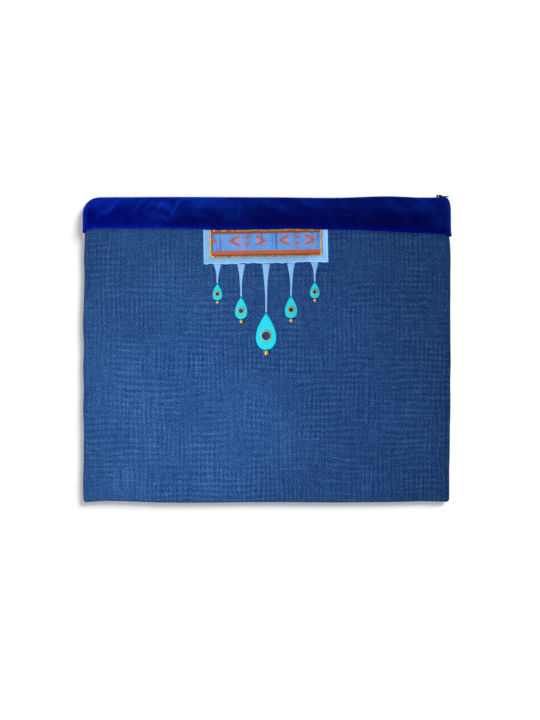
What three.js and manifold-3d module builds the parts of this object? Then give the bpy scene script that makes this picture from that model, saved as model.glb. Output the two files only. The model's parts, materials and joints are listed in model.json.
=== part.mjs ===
// A tallit bag: a flat zipped pouch of coarse cloth with a velvet cuff round its mouth,
// and a sewn panel with five hanging drops on its front. It lies on its back.
// Millimetres. +X runs along the zip, +Y from the bottom seam to the mouth, +Z up.

import * as THREE from "three";
import { mergeVertices } from "three/addons/utils/BufferGeometryUtils.js";
import Module from "manifold-3d";

const wasm = await Module();
wasm.setup();

const { clamp, lerp, smoothstep, degToRad } = THREE.MathUtils;

// The bag
const BODY_WIDTH = 357; // side seam to side seam
const BAG_LENGTH = 298; // bottom seam to the crest of the cuff
const CLOTH = 1.5; // cloth and lining together
const VELVET = 2; // velvet with its pile
const GAP = 0.3; // between pieces that are sewn together
const SEAM_HEIGHT = 4.8; // side seams above the surface that the bag lies on
const SIDE_RISE = 5.5; // front wall above the seams, beside them
const BELLY_RISE = 9; // front wall above the seams, in the middle
const BODY_ROLL = 13; // width of the rounded edge along the body's seams
const BOTTOM_CORNER = 3; // rounding of the two bottom corners

// The cuff
const CUFF_DEPTH = 31.2; // crest to lower edge
const CUFF_ROLL = 7; // width of the rounded edge at the cuff's ends
const CUFF_TUCK = 8; // body cloth that runs up under the cuff
const CUFF_SETTLE = 30; // length over which the body rises to the cuff's thickness
const LEFT_CORNER = { across: 16, down: 16 };
const RIGHT_CORNER = { across: 5, down: 12 };
const MOUTH_FADE = 22; // length over which the mouth swells to the belly
const LIP_ROLL = 3; // rounding of the two lips along the zip
const LIP_SHARE = 0.7; // thickness left at the very crest

// The zip
const CHAIN_WIDTH = 4.2;
const CHAIN_THICKNESS = 1.6;
const CHAIN_CLEARANCE = 0.5; // from the chain to each lip
const TAPE_THICKNESS = 0.8;
const ZIP_START = 22; // from the left side seam to the zip's first tooth
const SLIDER_INSET = 9.1; // from the right side seam to the pull's hinge
const SLIDER_LENGTH = 9;
const SLIDER_TAIL = 0.82; // width of the tail, as a share of the nose's
const SLIDER_CUT = 1; // cut corners
const SLIDER_WALL = 0.8;
const SLIDER_PLATE = 1;
const SLIDER_PROUD = 0.3; // the slider's upper face above the crest
const BRIDGE_SPAN = 5.6;
const BRIDGE_CLEAR = 1.8; // opening under the bridge
const BRIDGE_THICKNESS = 0.8;
const BRIDGE_WIDTH = 1.4;
const POST_WIDTH = 1.2;
const PULL_REACH = 9.4; // hinge to free end
const PULL_WIDTH = 4.4;
const PULL_THICKNESS = 0.9;
const PULL_CUT = 1; // cut corners of the pull's free end
const PULL_CLEARANCE = 0.4; // between the pull's eye and the bridge
const STOP_LENGTH = 2.2;

// The sewn panel
const PANEL_WIDTH = 121.5;
const PANEL_DEPTH = 33.5; // seen below the cuff
const PANEL_SHIFT = -0.5;
const PANEL_TILT = degToRad(1.1);
const BORDER = 7; // width of the plain border
const SATIN = 1; // thickness of the border
const RIBBON = 1; // thickness of the woven ribbon
const CORD_DIAMETER = 1.8;
const CORD_END = 0.3; // from the side cords' ends to the cuff's edge

// The drops: place and size as shares of the panel's width
const HANGER_TOP = 8; // width of each hanger where it leaves the panel
const HANGER_TIP = 1.7;
const HANGER_THICKNESS = 0.8;
const DROP_THICKNESS = 1.2;
const RING_WIRE = 1.3;
const BEAD_BORE = 1;
const HANGER_HOLLOW = 2.6; // 1 narrows a hanger evenly, more narrows it sooner
const HOLE_PLACE = 0.62; // middle of the hole, as a share of the drop's length from its point
const SMALL_DROP = { hanger: 0.15, width: 0.078, length: 0.135, hole: 0.026, bead: 0.028 };
const MEDIUM_DROP = { hanger: 0.26, width: 0.1, length: 0.18, hole: 0.034, bead: 0.033 };
const LARGE_DROP = { hanger: 0.39, width: 0.165, length: 0.3, hole: 0.066, bead: 0.043 };
const DROPS = [
  { name: "far_left", across: -0.39, ...SMALL_DROP },
  { name: "left", across: -0.2, ...MEDIUM_DROP },
  { name: "middle", across: 0, ...LARGE_DROP },
  { name: "right", across: 0.2, ...MEDIUM_DROP },
  { name: "far_right", across: 0.39, ...SMALL_DROP },
];

// Side seams: up is a share of the bag's length, left and right of half the body's width.
const SIDES = [
  { up: 0, left: 1.0025, right: 0.998 },
  { up: 0.08, left: 1.006, right: 1.001 },
  { up: 0.17, left: 1.001, right: 1.003 },
  { up: 0.3, left: 1.0045, right: 1.007 },
  { up: 0.42, left: 1.001, right: 1.007 },
  { up: 0.55, left: 1.005, right: 1.0075 },
  { up: 0.7, left: 1.001, right: 1.0075 },
  { up: 0.84, left: 0.997, right: 1.007 },
  { up: 0.9, left: 0.9955, right: 0.997 },
  { up: 1, left: 0.9955, right: 0.996 },
];

// Bottom seam and crest: along is a share of half the width, the rest are shares of the bag's length.
const ENDS = [
  { along: -1, bottom: 0, crest: 0 },
  { along: -0.88, bottom: 0.004, crest: 0 },
  { along: -0.5, bottom: -0.002, crest: 0.001 },
  { along: 0, bottom: 0, crest: 0 },
  { along: 0.35, bottom: -0.001, crest: -0.002 },
  { along: 0.66, bottom: 0, crest: 0.003 },
  { along: 0.86, bottom: 0.003, crest: -0.001 },
  { along: 1, bottom: 0.001, crest: 0 },
];

// Cuff's lower edge: depth is a share of the cuff's depth.
const CUFF_EDGE = [
  { along: -1, depth: 1.12 },
  { along: -0.975, depth: 1.03 },
  { along: -0.93, depth: 0.995 },
  { along: -0.5, depth: 0.995 },
  { along: -0.27, depth: 1.025 },
  { along: 0, depth: 1.01 },
  { along: 0.15, depth: 0.99 },
  { along: 0.35, depth: 1.012 },
  { along: 0.5, depth: 1.042 },
  { along: 0.62, depth: 1.088 },
  { along: 0.72, depth: 1.115 },
  { along: 0.85, depth: 1.138 },
  { along: 0.95, depth: 1.165 },
  { along: 1, depth: 1.235 },
];

// Soft dents in the front: across is a share of half the width, up and reach of the bag's length,
// depth of the belly's rise.
const DENTS = [
  { across: 0.62, up: 0.62, reach: 0.12, depth: 0.07 },
  { across: -0.25, up: 0.16, reach: 0.14, depth: 0.05 },
  { across: -0.62, up: 0.4, reach: 0.1, depth: 0.05 },
  { across: 0.35, up: 0.3, reach: 0.11, depth: 0.04 },
];

// Slanting creases in the cuff's front: across and reach are shares of half the width, lean is
// sideways travel for each millimetre up, depth a share of the velvet's thickness.
const CREASES = [
  { across: -0.87, lean: 0.75, reach: 0.022, depth: 0.4 },
  { across: -0.72, lean: 0.6, reach: 0.018, depth: 0.3 },
  { across: -0.48, lean: 0.45, reach: 0.02, depth: 0.35 },
  { across: -0.18, lean: 0.08, reach: 0.018, depth: 0.3 },
  { across: 0.5, lean: -0.6, reach: 0.03, depth: 0.25 },
];

const COLOURS = {
  cloth: { color: 0x2c548d, roughness: 0.9, metalness: 0 },
  velvet: { color: 0x040f62, roughness: 0.75, metalness: 0 },
  satin: { color: 0x86bbea, roughness: 0.5, metalness: 0 },
  ribbon: { color: 0x7f95cf, roughness: 0.7, metalness: 0 },
  turquoise: { color: 0x17d8ee, roughness: 0.55, metalness: 0 },
  gold: { color: 0xd9b056, roughness: 0.3, metalness: 1 },
  tape: { color: 0x10183c, roughness: 0.85, metalness: 0 },
  chain: { color: 0x151d45, roughness: 0.45, metalness: 0 },
  darkMetal: { color: 0x23262a, roughness: 0.35, metalness: 1 },
};

// What follows from the sizes above
const CUFF_PROUD = GAP + VELVET; // the cuff's outer face above the body cloth
const CREST = BAG_LENGTH;
const CUFF_LINE = BAG_LENGTH - CUFF_DEPTH;
const CUFF_LOWEST = BAG_LENGTH - CUFF_DEPTH * Math.max(...CUFF_EDGE.map((row) => row.depth)) - GAP;
const BODY_TOP = CUFF_LINE + CUFF_TUCK;
const MOUTH_RISE = SEAM_HEIGHT - CUFF_PROUD;
const SLOT_HALF = CHAIN_WIDTH / 2 + CHAIN_CLEARANCE;
const PLATE_TOP = CREST + SLIDER_PROUD;
const PLATE_UNDER = PLATE_TOP - SLIDER_PLATE;
const CHAIN_TOP = PLATE_UNDER - GAP;
const CHAIN_UNDER = CHAIN_TOP - CHAIN_THICKNESS;
const TAPE_TOP = CHAIN_UNDER - GAP;
const TAPE_UNDER = TAPE_TOP - TAPE_THICKNESS;
const SLIDER_HALF = CHAIN_WIDTH / 2 + PULL_CLEARANCE + SLIDER_WALL;
const POCKET_HALF = SLIDER_HALF + GAP;

const DROP_FULLNESS = 0.75 * Math.sqrt(3); // makes the drop's curve one wide at its widest

const sideOf = (x) => (x < 0 ? "left" : "right");

// Reads one column of a table at a place along its key column, easing from row to row.
function read(table, key, column, at) {
  const next = table.findIndex((row) => row[key] >= at);
  if (next < 0) return table.at(-1)[column];
  if (next === 0) return table[0][column];
  const [a, b] = [table[next - 1], table[next]];
  return lerp(a[column], b[column], smoothstep(at, a[key], b[key]));
}

// 0 on an edge and 1 from reach inwards, with a quarter of an ellipse between.
function roll(inset, reach) {
  const share = clamp(inset / reach, 0, 1);
  return Math.sqrt(1 - (1 - share) ** 2);
}

// How far a rounded corner draws the outline in at a distance from the end that it rounds.
function cornerInset(fromEnd, across, down) {
  const share = clamp(1 - fromEnd / down, 0, 1);
  return across * (1 - Math.sqrt(1 - share ** 2));
}

const seamAt = (side, y) => (BODY_WIDTH / 2) * read(SIDES, "up", side, y / BAG_LENGTH);
const crestOf = (out) => CREST - CUFF_PROUD + out;

// Half the width of the form that lies `out` outside the body cloth, on one side.
function halfWidth(side, y, out) {
  const corner = side === "left" ? LEFT_CORNER : RIGHT_CORNER;
  const top = cornerInset(crestOf(out) - y, corner.across, corner.down);
  const bottom = cornerInset(y + out, BOTTOM_CORNER, BOTTOM_CORNER);
  return seamAt(side, y) + out - top - bottom;
}

const rollReach = (y) => lerp(BODY_ROLL, CUFF_ROLL, smoothstep(y, CUFF_LOWEST - CUFF_SETTLE, CUFF_LOWEST));

function dent(x, y) {
  const sum = DENTS.map(({ across, up, reach, depth }) => {
    const dx = x - (across * BODY_WIDTH) / 2;
    const dy = y - up * BAG_LENGTH;
    return depth * Math.exp(-(dx * dx + dy * dy) / (reach * BAG_LENGTH) ** 2);
  });
  return BELLY_RISE * sum.reduce((a, b) => a + b, 0);
}

function crease(x, y) {
  const middle = CREST - CUFF_DEPTH / 2;
  const fade = Math.sin(Math.PI * clamp((CREST - y) / CUFF_DEPTH, 0, 1));
  const sum = CREASES.map(({ across, lean, reach, depth }) => {
    const away = x - (across * BODY_WIDTH) / 2 - lean * (y - middle);
    return depth * Math.exp(-((away / ((reach * BODY_WIDTH) / 2)) ** 2));
  });
  return VELVET * fade * sum.reduce((a, b) => a + b, 0);
}

// Height of the body cloth's outer face above the seams, away from the edges.
function bellyRise(x, y) {
  const across = clamp(x / seamAt(sideOf(x), y), -1, 1);
  const along = clamp((2 * y) / BAG_LENGTH - 1, -1, 1);
  const dome = (1 - across ** 2) * (1 - along ** 2);
  const belly = SIDE_RISE + (BELLY_RISE - SIDE_RISE) * dome - dent(x, y);
  return lerp(MOUTH_RISE, belly, smoothstep(crestOf(0) - y, 0, MOUTH_FADE));
}

// How far the back lies above the surface under the bag, so that the cuff's back can rest on it too.
const backLift = (y) => CUFF_PROUD * smoothstep(y, CUFF_LOWEST - CUFF_SETTLE, CUFF_LOWEST);

// Front and back heights of the form that lies `out` outside the body cloth.
function formHeights(x, y, out) {
  const side = sideOf(x);
  const reach = rollReach(y);
  const fromSide = halfWidth(side, y, out) - Math.abs(x);
  const lip = lerp(LIP_SHARE, 1, roll(crestOf(out) - y, LIP_ROLL));
  const edge = roll(fromSide, reach) * roll(y + out, reach) * lip;
  return {
    front: SEAM_HEIGHT + edge * (bellyRise(x, y) + out),
    back: SEAM_HEIGHT - edge * (SEAM_HEIGHT - backLift(y) + out),
  };
}

const clothTop = (x, y) => formHeights(x, y, 0).front;

// A manifold solid from a list of triangles, each three corners of [x, y, z].
function solidOfTriangles(triangles) {
  const loose = new THREE.BufferGeometry();
  loose.setAttribute("position", new THREE.Float32BufferAttribute(triangles.flat(2), 3));
  return solidOfGeometry(loose);
}

function solidOfGeometry(geometry) {
  const bare = geometry.clone();
  bare.deleteAttribute("normal");
  bare.deleteAttribute("uv");
  const merged = mergeVertices(bare, 1e-4);
  const corners = Array.from(merged.index.array);
  const kept = [];
  for (let i = 0; i < corners.length; i += 3) {
    const [a, b, c] = corners.slice(i, i + 3);
    if (a !== b && b !== c && c !== a) kept.push(a, b, c);
  }
  const vertProperties = new Float32Array(merged.attributes.position.array);
  const mesh = new wasm.Mesh({ numProp: 3, vertProperties, triVerts: new Uint32Array(kept) });
  return new wasm.Manifold(mesh);
}

function geometryOfSolid(solid) {
  const made = solid.getMesh();
  const places = [];
  for (let i = 0; i < made.numVert; i++) {
    places.push(...made.vertProperties.subarray(i * made.numProp, i * made.numProp + 3));
  }
  const indexed = new THREE.BufferGeometry();
  indexed.setAttribute("position", new THREE.Float32BufferAttribute(places, 3));
  indexed.setIndex(Array.from(made.triVerts));
  const flat = indexed.toNonIndexed();
  flat.computeVertexNormals();
  return flat;
}

function meshOf(name, solid, finish) {
  const mesh = new THREE.Mesh(geometryOfSolid(solid), new THREE.MeshStandardMaterial(COLOURS[finish]));
  mesh.name = name;
  return mesh;
}

// An outline from its lower side, from left to right, and the same side mirrored.
const bothSides = (side) => [...side, ...side.map(([x, y]) => [x, -y]).reverse()];

// Two triangles for a four-cornered patch, its corners in turn, seen from outside anticlockwise.
const patch = (a, b, c, d) => [[a, b, c], [a, c, d]];

function box(x, y, z) {
  const geometry = new THREE.BoxGeometry(x[1] - x[0], y[1] - y[0], z[1] - z[0]);
  geometry.translate((x[0] + x[1]) / 2, (y[0] + y[1]) / 2, (z[0] + z[1]) / 2);
  return solidOfGeometry(geometry);
}

function prism(points, low, high) {
  const shape = new THREE.Shape(points.map(([x, y]) => new THREE.Vector2(x, y)));
  const geometry = new THREE.ExtrudeGeometry(shape, { depth: high - low, bevelEnabled: false });
  geometry.translate(0, 0, low);
  return solidOfGeometry(geometry);
}

// How finely the forms are divided. A step is a share of the roll, lip or corner that it crosses.
const ROLL_STEPS = [0, 0.03, 0.13, 0.3, 0.52, 0.76, 1];
const LIP_STEPS = [0, 0.12, 0.4, 1];
const CORNER_STEPS = [0.4, 0.62, 0.8, 1];
const BODY_COLUMNS = 9;
const CUFF_COLUMNS = 26;
const BODY_ROWS = 6;
const SETTLE_ROWS = 3;
const CUFF_ROWS = 4;
const EDGE_STEPS = 60;
const LAYER_CELLS = 6;
const DROP_CELLS = 4;
const CORD_SIDES = 8;
const SIDE_CORD_STEPS = 40;
const TOP_CORD_STEPS = 12;
const RING_SIDES = 6;
const RING_STEPS = 16;
const HOLE_STEPS = 12;
const BEAD_STEPS = 12;
const BEAD_ROWS = 6;
const OUTLINE_STEPS = 24;
const HANGER_STEPS = 8;

function evenly(from, to, count) {
  return Array.from({ length: count + 1 }, (_, i) => lerp(from, to, i / count));
}

// The columns of a row: shares from -1 at the left edge to 1 at the right.
function columnShares(half, reach, middle) {
  const edge = reach / half;
  const left = ROLL_STEPS.map((step) => -1 + step * edge);
  const inner = evenly(-1 + edge, 1 - edge, middle).slice(1, -1);
  return [...left, ...inner, ...left.map((share) => -share).reverse()];
}

// How far the bottom seam and the crest wander from straight.
function endWave(x, y) {
  const along = x / (BODY_WIDTH / 2);
  const crest = smoothstep(y, CREST - 2 * CUFF_DEPTH, CREST - CUFF_DEPTH / 2);
  const wave = lerp(read(ENDS, "along", "bottom", along), read(ENDS, "along", "crest", along), crest);
  return BAG_LENGTH * wave * Math.max(crest, 1 - smoothstep(y, 0, BODY_ROLL * 2));
}

// One place of the form `out` outside the body cloth, its share of the width given: front and back.
function formPlace(share, y, out, creased) {
  const x = share * halfWidth(sideOf(share), y, out);
  const { front, back } = formHeights(x, y, out);
  const level = clamp((front - SEAM_HEIGHT) / SIDE_RISE, 0, 1);
  const dip = creased && Math.abs(share) < 1 ? crease(x, y) * level : 0;
  const place = y + endWave(x, y);
  return { front: [x, place, front - dip], back: [x, place, back] };
}

// The closed form `out` outside the body cloth, between the rows' first and last y.
function formSolid({ out, rows, columns, creased = false }) {
  const shares = columnShares(BODY_WIDTH / 2, CUFF_ROLL, columns);
  const grid = rows.map((y) => shares.map((share) => formPlace(share, y, out, creased)));
  const last = shares.length - 1;
  const faces = [];
  for (let j = 0; j + 1 < grid.length; j++) {
    for (let i = 0; i < last; i++) {
      const [a, b, c, d] = [grid[j][i], grid[j][i + 1], grid[j + 1][i + 1], grid[j + 1][i]];
      faces.push(...patch(a.front, b.front, c.front, d.front));
      faces.push(...patch(a.back, d.back, c.back, b.back));
    }
  }
  for (let i = 0; i < last; i++) {
    const [a, b] = [grid[0][i], grid[0][i + 1]];
    faces.push(...patch(a.front, a.back, b.back, b.front));
    const [c, d] = [grid.at(-1)[i], grid.at(-1)[i + 1]];
    faces.push(...patch(c.front, d.front, d.back, c.back));
  }
  return solidOfTriangles(faces);
}

// Rows of the body from its bottom seam up to a given height.
function bodyRows(out, top) {
  const edge = ROLL_STEPS.map((step) => step * BODY_ROLL - out);
  const long = evenly(BODY_ROLL - out, CUFF_LOWEST - CUFF_SETTLE, BODY_ROWS).slice(1);
  const settling = evenly(CUFF_LOWEST - CUFF_SETTLE, CUFF_LOWEST, SETTLE_ROWS).slice(1);
  return [...edge, ...long, ...settling, (CUFF_LOWEST + top) / 2, top];
}

// Rows of the cuff from a given height up to its crest.
function cuffRows(out, bottom) {
  const top = crestOf(out);
  const down = Math.max(LEFT_CORNER.down, RIGHT_CORNER.down);
  const lip = LIP_STEPS.map((step) => top - step * LIP_ROLL);
  const corner = CORNER_STEPS.map((step) => top - step * down);
  return [...lip, ...corner, ...evenly(top - down, bottom, CUFF_ROWS).slice(1)].reverse();
}

// The cuff's lower edge at a place along the zip.
function cuffEdge(x) {
  const along = x / (BODY_WIDTH / 2 + CUFF_PROUD);
  return CREST - read(CUFF_EDGE, "along", "depth", along) * CUFF_DEPTH;
}

// A flat shape over the whole bag below the cuff's lower edge, drawn back by a clearance.
function belowCuff(clearance) {
  const half = BODY_WIDTH / 2 + CUFF_PROUD;
  const edge = evenly(-half, half, EDGE_STEPS).map((x) => [x, cuffEdge(x) - clearance]);
  const beyond = half + BODY_ROLL;
  const right = [[beyond, edge.at(-1)[1]], [beyond, -BODY_ROLL]];
  const left = [[-beyond, -BODY_ROLL], [-beyond, edge[0][1]]];
  return prism([...edge, ...right, ...left].reverse(), -BODY_ROLL, 2 * BODY_ROLL);
}

const halfSpace = (low, high) => box([-BODY_WIDTH, BODY_WIDTH], [-BAG_LENGTH, 2 * BAG_LENGTH], [low, high]);

// Splits a wall into its front and back pieces along the seams.
function frontAndBack(wall) {
  const top = 4 * BELLY_RISE;
  return {
    front: wall.intersect(halfSpace(SEAM_HEIGHT + GAP / 2, top)),
    back: wall.intersect(halfSpace(-top, SEAM_HEIGHT - GAP / 2)),
  };
}

function bodyPanels() {
  const outer = formSolid({ out: 0, rows: bodyRows(0, BODY_TOP), columns: BODY_COLUMNS });
  const inside = bodyRows(-CLOTH, BODY_TOP + CLOTH);
  const room = formSolid({ out: -CLOTH, rows: inside, columns: BODY_COLUMNS });
  const { front, back } = frontAndBack(outer.subtract(room));
  return [meshOf("front_panel", front, "cloth"), meshOf("back_panel", back, "cloth")];
}

const SLIDER_X = seamAt("right", CREST) - SLIDER_INSET;
const ZIP_LEFT = -seamAt("left", CREST) + ZIP_START - GAP;
const SLIDER_LEFT = SLIDER_X - SLIDER_LENGTH / 2;
const SLIDER_RIGHT = SLIDER_X + SLIDER_LENGTH / 2;
const POST_LEFT = SLIDER_RIGHT - SLIDER_WALL - POST_WIDTH;

const zAcross = (half) => [SEAM_HEIGHT - half, SEAM_HEIGHT + half];

// The slot between the lips, wider where the slider sits.
function mouthSlot() {
  const floor = TAPE_UNDER - GAP;
  const over = CREST + CUFF_DEPTH;
  const slot = box([ZIP_LEFT, SLIDER_RIGHT + GAP], [floor, over], zAcross(SLOT_HALF));
  const pocketX = [SLIDER_LEFT - GAP, SLIDER_RIGHT + GAP];
  return slot.add(box(pocketX, [CHAIN_UNDER - GAP, over], zAcross(POCKET_HALF)));
}

function cuffBands() {
  const start = CUFF_LOWEST - CUFF_TUCK;
  const outerRows = cuffRows(CUFF_PROUD, start);
  const outer = formSolid({ out: CUFF_PROUD, rows: outerRows, columns: CUFF_COLUMNS, creased: true });
  const roomRows = cuffRows(GAP, start - CUFF_PROUD);
  const room = formSolid({ out: GAP, rows: roomRows, columns: BODY_COLUMNS });
  const wall = outer.subtract(room).subtract(belowCuff(0)).subtract(mouthSlot());
  const { front, back } = frontAndBack(wall);
  return [meshOf("front_cuff", front, "velvet"), meshOf("back_cuff", back, "velvet")];
}

function zipTape(name, sign) {
  const inner = SEAM_HEIGHT + (sign * GAP) / 2;
  const outer = SEAM_HEIGHT + sign * (SLOT_HALF - GAP);
  const z = [Math.min(inner, outer), Math.max(inner, outer)];
  return meshOf(name, box([ZIP_LEFT + GAP, POST_LEFT - GAP], [TAPE_UNDER, TAPE_TOP], z), "tape");
}

function zipChain() {
  const half = CHAIN_WIDTH / 2;
  const bevel = CHAIN_THICKNESS / 3;
  const section = bothSides([[-half, -bevel / 2], [-half + bevel, -CHAIN_THICKNESS / 2],
    [half - bevel, -CHAIN_THICKNESS / 2], [half, -bevel / 2]]);
  const from = ZIP_LEFT + GAP + STOP_LENGTH + GAP;
  const to = POST_LEFT - GAP;
  const laid = prism(section, 0, to - from).rotate([0, 90, 0]).rotate([90, 0, 0]);
  const centre = (CHAIN_TOP + CHAIN_UNDER) / 2;
  return meshOf("zip_chain", laid.rotate([90, 0, 0]).translate([from, centre, SEAM_HEIGHT]), "chain");
}

function zipStop() {
  const from = ZIP_LEFT + GAP;
  const clip = box([from, from + STOP_LENGTH], [CHAIN_UNDER, CHAIN_TOP], zAcross(CHAIN_WIDTH / 2));
  return meshOf("zip_bottom_stop", clip, "darkMetal");
}

// The slider's outline seen from outside the zip: narrow tail, wide nose.
function sliderOutline(half) {
  const [tail, nose] = [-SLIDER_LENGTH / 2, SLIDER_LENGTH / 2];
  const waist = half * SLIDER_TAIL;
  const cut = SLIDER_CUT;
  return bothSides([[tail, -waist + cut], [tail + cut, -waist], [0, -waist], [nose - 2 * cut, -half],
    [nose - cut, -half], [nose, -half + cut]]);
}

// Lays a shape drawn with x along the zip and y across it between two depths of the zip.
function onZip(points, low, high) {
  const flat = prism(points, low, high);
  return flat.rotate([-90, 0, 0]).translate([SLIDER_X, 0, SEAM_HEIGHT]);
}

const HINGE_Y = PLATE_TOP + BRIDGE_CLEAR / 2;

// The low arch on the slider's plate that holds the pull's bar.
function sliderBridge() {
  const half = BRIDGE_SPAN / 2;
  const foot = PLATE_TOP - SLIDER_PLATE / 2;
  const top = PLATE_TOP + BRIDGE_CLEAR + BRIDGE_THICKNESS;
  const right = [[half, foot], [half, top - BRIDGE_THICKNESS], [half - BRIDGE_THICKNESS, top]];
  const left = right.map(([x, y]) => [-x, y]).reverse();
  const arch = prism([...right, ...left], -BRIDGE_WIDTH / 2, BRIDGE_WIDTH / 2);
  const inside = half - BRIDGE_THICKNESS;
  const across = [-BRIDGE_WIDTH, BRIDGE_WIDTH];
  const opening = box([-inside, inside], [PLATE_TOP, PLATE_TOP + BRIDGE_CLEAR], across);
  return arch.subtract(opening).translate([SLIDER_X, 0, SEAM_HEIGHT]);
}

// The slider: its plate over the chain, the post between the tapes and the rib below them.
function zipSlider() {
  const ribTop = TAPE_UNDER - GAP;
  const side = PULL_CLEARANCE / 2;
  const plan = onZip(sliderOutline(SLIDER_HALF), CHAIN_UNDER, PLATE_TOP);
  const passage = box([SLIDER_LEFT - GAP, SLIDER_RIGHT + GAP], [CHAIN_UNDER - GAP, PLATE_UNDER],
    zAcross(CHAIN_WIDTH / 2 + side));
  const postY = [ribTop - SLIDER_WALL / 2, PLATE_TOP - SLIDER_PLATE / 2];
  const post = box([POST_LEFT, POST_LEFT + POST_WIDTH], postY, zAcross(POST_WIDTH / 2));
  const rib = box([SLIDER_LEFT + SLIDER_WALL, SLIDER_RIGHT - SLIDER_WALL], [ribTop - SLIDER_WALL, ribTop],
    zAcross(SLOT_HALF - GAP - side));
  return meshOf("zip_slider", plan.subtract(passage).add(post).add(rib).add(sliderBridge()), "darkMetal");
}

// The pull swings about its own cross bar, which lies under the slider's bridge.
function zipPull() {
  const half = PULL_WIDTH / 2;
  const bar = PULL_THICKNESS / 2;
  const cut = PULL_CUT;
  const outline = bothSides([[-bar, -half + bar], [bar, -half], [PULL_REACH - 2 * cut, -half],
    [PULL_REACH - cut / 2, -half + cut], [PULL_REACH, -half + 2 * cut]]);
  const plate = onZip(outline, HINGE_Y - bar, HINGE_Y + bar);
  const reach = Math.hypot(BRIDGE_SPAN / 2, BRIDGE_CLEAR / 2 + BRIDGE_THICKNESS) + PULL_CLEARANCE;
  const eye = box([SLIDER_X + bar, SLIDER_X + reach], [HINGE_Y - PULL_THICKNESS, HINGE_Y + PULL_THICKNESS],
    zAcross(BRIDGE_WIDTH / 2 + PULL_CLEARANCE));
  return meshOf("zip_pull", plate.subtract(eye), "darkMetal");
}

// A sheet that follows the body cloth's front, from `lift` above it, cut to a flat outline.
function clothLayer(cutter, lift, thickness, reach, cells) {
  const xs = evenly(reach.x[0], reach.x[1], cells);
  const ys = evenly(reach.y[0], reach.y[1], cells);
  const low = (i, j) => [xs[i], ys[j], clothTop(xs[i], ys[j]) + lift];
  const high = (i, j) => [xs[i], ys[j], clothTop(xs[i], ys[j]) + lift + thickness];
  const faces = [];
  for (let i = 0; i < cells; i++) {
    for (let j = 0; j < cells; j++) {
      faces.push(...patch(high(i, j), high(i + 1, j), high(i + 1, j + 1), high(i, j + 1)));
      faces.push(...patch(low(i, j), low(i, j + 1), low(i + 1, j + 1), low(i + 1, j)));
    }
    faces.push(...patch(low(i, 0), low(i + 1, 0), high(i + 1, 0), high(i, 0)));
    faces.push(...patch(high(i, cells), high(i + 1, cells), low(i + 1, cells), low(i, cells)));
    faces.push(...patch(high(0, i), high(0, i + 1), low(0, i + 1), low(0, i)));
    faces.push(...patch(low(cells, i), low(cells, i + 1), high(cells, i + 1), high(cells, i)));
  }
  return solidOfTriangles(faces).intersect(cutter);
}

// Panel places: x and y from the middle of the panel's lower edge, turned by the panel's tilt.
function onPanel(x, y) {
  const [cos, sin] = [Math.cos(PANEL_TILT), Math.sin(PANEL_TILT)];
  return [PANEL_SHIFT + x * cos - y * sin, CUFF_LINE - PANEL_DEPTH + x * sin + y * cos];
}

const rectangle = (left, right, low, high) =>
  [[left, low], [right, low], [right, high], [left, high]].map(([x, y]) => onPanel(x, y));

const PANEL_REACH = {
  x: [-PANEL_WIDTH * 0.6, PANEL_WIDTH * 0.6],
  y: [CUFF_LINE - PANEL_DEPTH * 1.2, CUFF_LINE],
};
const FLOOR_TO_TOP = [-BELLY_RISE, 5 * BELLY_RISE];
const WINDOW = { half: PANEL_WIDTH / 2 - BORDER, low: BORDER };

function panelBorder() {
  const whole = prism(rectangle(-PANEL_WIDTH / 2, PANEL_WIDTH / 2, 0, 2 * PANEL_DEPTH), ...FLOOR_TO_TOP);
  const window = prism(rectangle(-WINDOW.half, WINDOW.half, WINDOW.low, 3 * PANEL_DEPTH), ...FLOOR_TO_TOP);
  const cutter = whole.subtract(window).intersect(belowCuff(GAP));
  return meshOf("panel_border", clothLayer(cutter, GAP, SATIN, PANEL_REACH, LAYER_CELLS), "satin");
}

function wovenRibbon() {
  const inside = WINDOW.half - GAP;
  const plan = prism(rectangle(-inside, inside, WINDOW.low + GAP, 2 * PANEL_DEPTH), ...FLOOR_TO_TOP);
  const cutter = plan.intersect(belowCuff(GAP));
  return meshOf("woven_ribbon", clothLayer(cutter, GAP, RIBBON, PANEL_REACH, LAYER_CELLS), "ribbon");
}

// The places of a circle, without its first one twice.
function circle(radius, sides) {
  const turns = evenly(0, 2 * Math.PI, sides).slice(1);
  return turns.map((turn) => [radius * Math.cos(turn), radius * Math.sin(turn)]);
}

// A round cord laid on the panel along flat places.
function cordAlong(places, steps) {
  const lift = GAP + Math.max(SATIN, RIBBON) + GAP + CORD_DIAMETER / 2;
  const points = places.map(([x, y]) => new THREE.Vector3(x, y, clothTop(x, y) + lift));
  const extrudePath = new THREE.CatmullRomCurve3(points, false, "centripetal");
  const round = circle(CORD_DIAMETER / 2, CORD_SIDES);
  const section = new THREE.Shape(round.map(([x, y]) => new THREE.Vector2(x, y)));
  return solidOfGeometry(new THREE.ExtrudeGeometry(section, { steps, extrudePath, bevelEnabled: false }));
}

// The cord covers the joint between border and ribbon; its ends stop at the cuff's edge.
function sideCord() {
  const { half, low } = WINDOW;
  const turn = CORD_DIAMETER;
  const topAt = (x) => cuffEdge(onPanel(x, PANEL_DEPTH)[0]) - onPanel(x, 0)[1] - GAP - CORD_END;
  const left = evenly(topAt(-half), low + turn, 2).map((y) => onPanel(-half, y));
  const bottom = evenly(-half + turn, half - turn, 4).map((x) => onPanel(x, low));
  const right = evenly(low + turn, topAt(half), 2).map((y) => onPanel(half, y));
  return meshOf("gold_cord", cordAlong([...left, ...bottom, ...right], SIDE_CORD_STEPS), "gold");
}

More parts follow.
